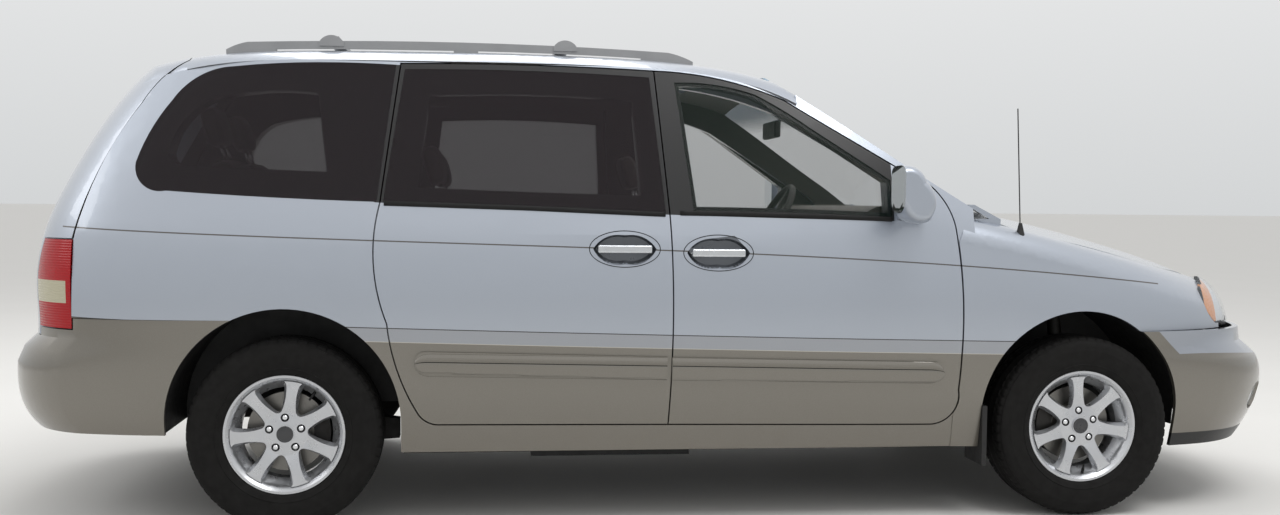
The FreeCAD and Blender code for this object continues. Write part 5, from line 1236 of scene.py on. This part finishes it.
for node, places in SEATS.items():
    for i, (x, y, width, floor) in enumerate(places):
        for piece in seat(f"{node}_{i}", x, y, width, floor):
            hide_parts(node)

# Cabin and engine bay


def plateau(value, low, high, soft):
    """1 between low and high and 0 outside, with smooth slopes of a width."""
    t = np.clip(np.minimum(value - low, high - value) / soft, 0, 1)
    return t * t * (3 - 2 * t)


# Reach of a door card in x and z, and the middles (x, z) of its speaker and of the handle's dish
CARD_X, CARD_Z = (0.045, 0.815), (0.452, 1.050)
SPEAKER, DISH = (0.685, 0.565), (0.60, 0.925)


def door_card(label, side):
    """Moulded trim inside a front door, on a grid over its inner skin. Its relief is a sum of plateaus: the
    panel itself, an armrest and a map pocket, with rings over the speaker and a dish for the handle."""
    node, body = f"front_door_{label}", f"door_front_{label}"
    gx, gz = np.meshgrid(np.linspace(*CARD_X, 120), np.linspace(*CARD_Z, 96), indexing="ij")
    skin = np.empty(gx.shape)
    for i, j in np.ndindex(gx.shape):
        skin[i, j] = abs(hit(node, (gx[i, j], 0, gz[i, j]), (0, side, 0)).y)
    proud = 0.002 + 0.008 * plateau(gx, *CARD_X, 0.02) * plateau(gz, *CARD_Z, 0.02)
    proud += 0.052 * plateau(gx, 0.10, 0.56, 0.05) * plateau(gz, 0.760, 0.835, 0.024)
    proud += 0.030 * plateau(gx, 0.09, 0.54, 0.03) * plateau(gz, 0.478, 0.612, 0.018)
    away = np.hypot(gx - SPEAKER[0], gz - SPEAKER[1])
    proud += plateau(-away, -0.085, 1.0, 0.008) * (0.005 + 0.0015 * np.cos(away * 2 * math.pi / 0.014))
    proud -= 0.007 * np.exp(-(((gx - DISH[0]) / 0.065) ** 2 + ((gz - DISH[1]) / 0.030) ** 2) ** 2)
    front = np.stack([gx, side * (skin - proud), gz], -1)
    back = np.stack([0 * gx, side * (proud + 0.001), 0 * gx], -1)
    clean(put_mesh(f"door_card_{label}", *slab(front, back), body, "grey_plastic", GREY_TRIM))
    along = np.linspace(0, 1, 14)
    off = skin.mean() - 0.004 - 0.012 * np.sin(along * math.pi / 2) ** 0.5
    lever = np.stack([DISH[0] + 0.030 - 0.075 * along, side * off, DISH[1] + 0 * along], 1)
    lever = tube(lever, oval(0.003, 0.009, 10))
    clean(put_mesh(f"inside_handle_{label}", *lever, body, "silver_plastic", CHROME))


for label, side in SIDES:
    door_card(label, side)


# Reach of the engine's cover in x and y, the height it stands on, and the radii of the two hoses
COVER_X, COVER_Y = (1.335, 1.765), (-0.300, 0.300)
BLOCK_TOP = 0.850
DUCT_RADIUS, HOSE_RADIUS = 0.030, 0.018


def engine_dressing():
    """Ribbed cover and filler cap on the engine, a battery, an air box, and two moulded hoses: tubes whose
    paths ease from one end to the other by t^2 (3 - 2t), the air hose with 15 rings along it."""
    gx, gy = np.meshgrid(np.linspace(*COVER_X, 60), np.linspace(*COVER_Y, 121), indexing="ij")
    rise = 0.004 + 0.048 * plateau(gx, *COVER_X, 0.045) * plateau(gy, *COVER_Y, 0.045)
    ribs = plateau(gx, 1.39, 1.71, 0.01) * plateau(gy, -0.250, 0.250, 0.01)
    ribs = ribs * (np.cos(gy * 2 * math.pi / 0.05) > 0.2)
    top = np.stack([gx, gy, BLOCK_TOP + rise + 0.004 * ribs], -1)
    cover = slab(top, np.stack([0 * gx, 0 * gx, -rise - 0.004 * ribs - 0.001], -1))
    clean(put_mesh("engine_cover", *cover, "vehicle", "black_plastic", BLACK_PLASTIC))
    knob = [(0, 0.030), (0.020, 0.030), (0.027, 0.026), (0.030, 0.018), (0.030, 0.0), (0, 0.0)]
    knob = turned(knob, (1.372, 0.215, 0.884), (0, 0, 1), 32)
    clean(put_mesh("filler_cap", *knob, "vehicle", "black_plastic", GLOSS_BLACK))
    # Half sizes and middles of the battery and its lid, then of the air box and its lid
    boxes = []
    for half, place in (((0.085, 0.120, 0.090), (1.945, 0.395, 0.635)),
                        ((0.090, 0.126, 0.012), (1.945, 0.395, 0.731)),
                        ((0.105, 0.120, 0.085), (1.940, -0.390, 0.630)),
                        ((0.109, 0.124, 0.030), (1.940, -0.390, 0.742))):
        points, faces = pad_points(half, 0.0, 0.0, (), 14.0)
        boxes.append((points + np.array(place), faces))
    clean(put_mesh("battery_and_air_box", *join(boxes), "vehicle", "black_plastic", DARK_TRIM), 1e-4)
    post = [(0, 0.016), (0.007, 0.016), (0.0085, 0.0), (0, 0.0)]
    posts = [turned(post, (1.945, y, 0.741), (0, 0, 1), 16) for y in (0.325, 0.465)]
    clean(put_mesh("battery_posts", *join(posts), "vehicle", "bare_steel", PIPE_STEEL))
    t = np.linspace(0, 1, 60)
    ease = t * t * (3 - 2 * t)
    duct = np.stack([1.735 + 0.175 * t, -0.150 - 0.215 * ease, 0.905 - 0.105 * ease], 1)
    ring = DUCT_RADIUS + 0.0022 * np.cos(t * 2 * math.pi * 15)
    hose = np.stack([1.780 + 0.400 * t, 0.210 + 0.060 * ease, 0.800 - 0.030 * np.sin(t * math.pi)], 1)
    circle = oval(1.0, 1.0, 20)
    points, faces = tube(duct, circle * DUCT_RADIUS)
    middle = np.repeat(duct, 20, axis=0)
    points = middle + (points - middle) * np.repeat(ring / DUCT_RADIUS, 20)[:, None]
    hoses = join([(points, faces), tube(hose, circle * HOSE_RADIUS)])
    clean(put_mesh("coolant_and_air_hoses", *hoses, "vehicle", "black_plastic", SEAL))


engine_dressing()
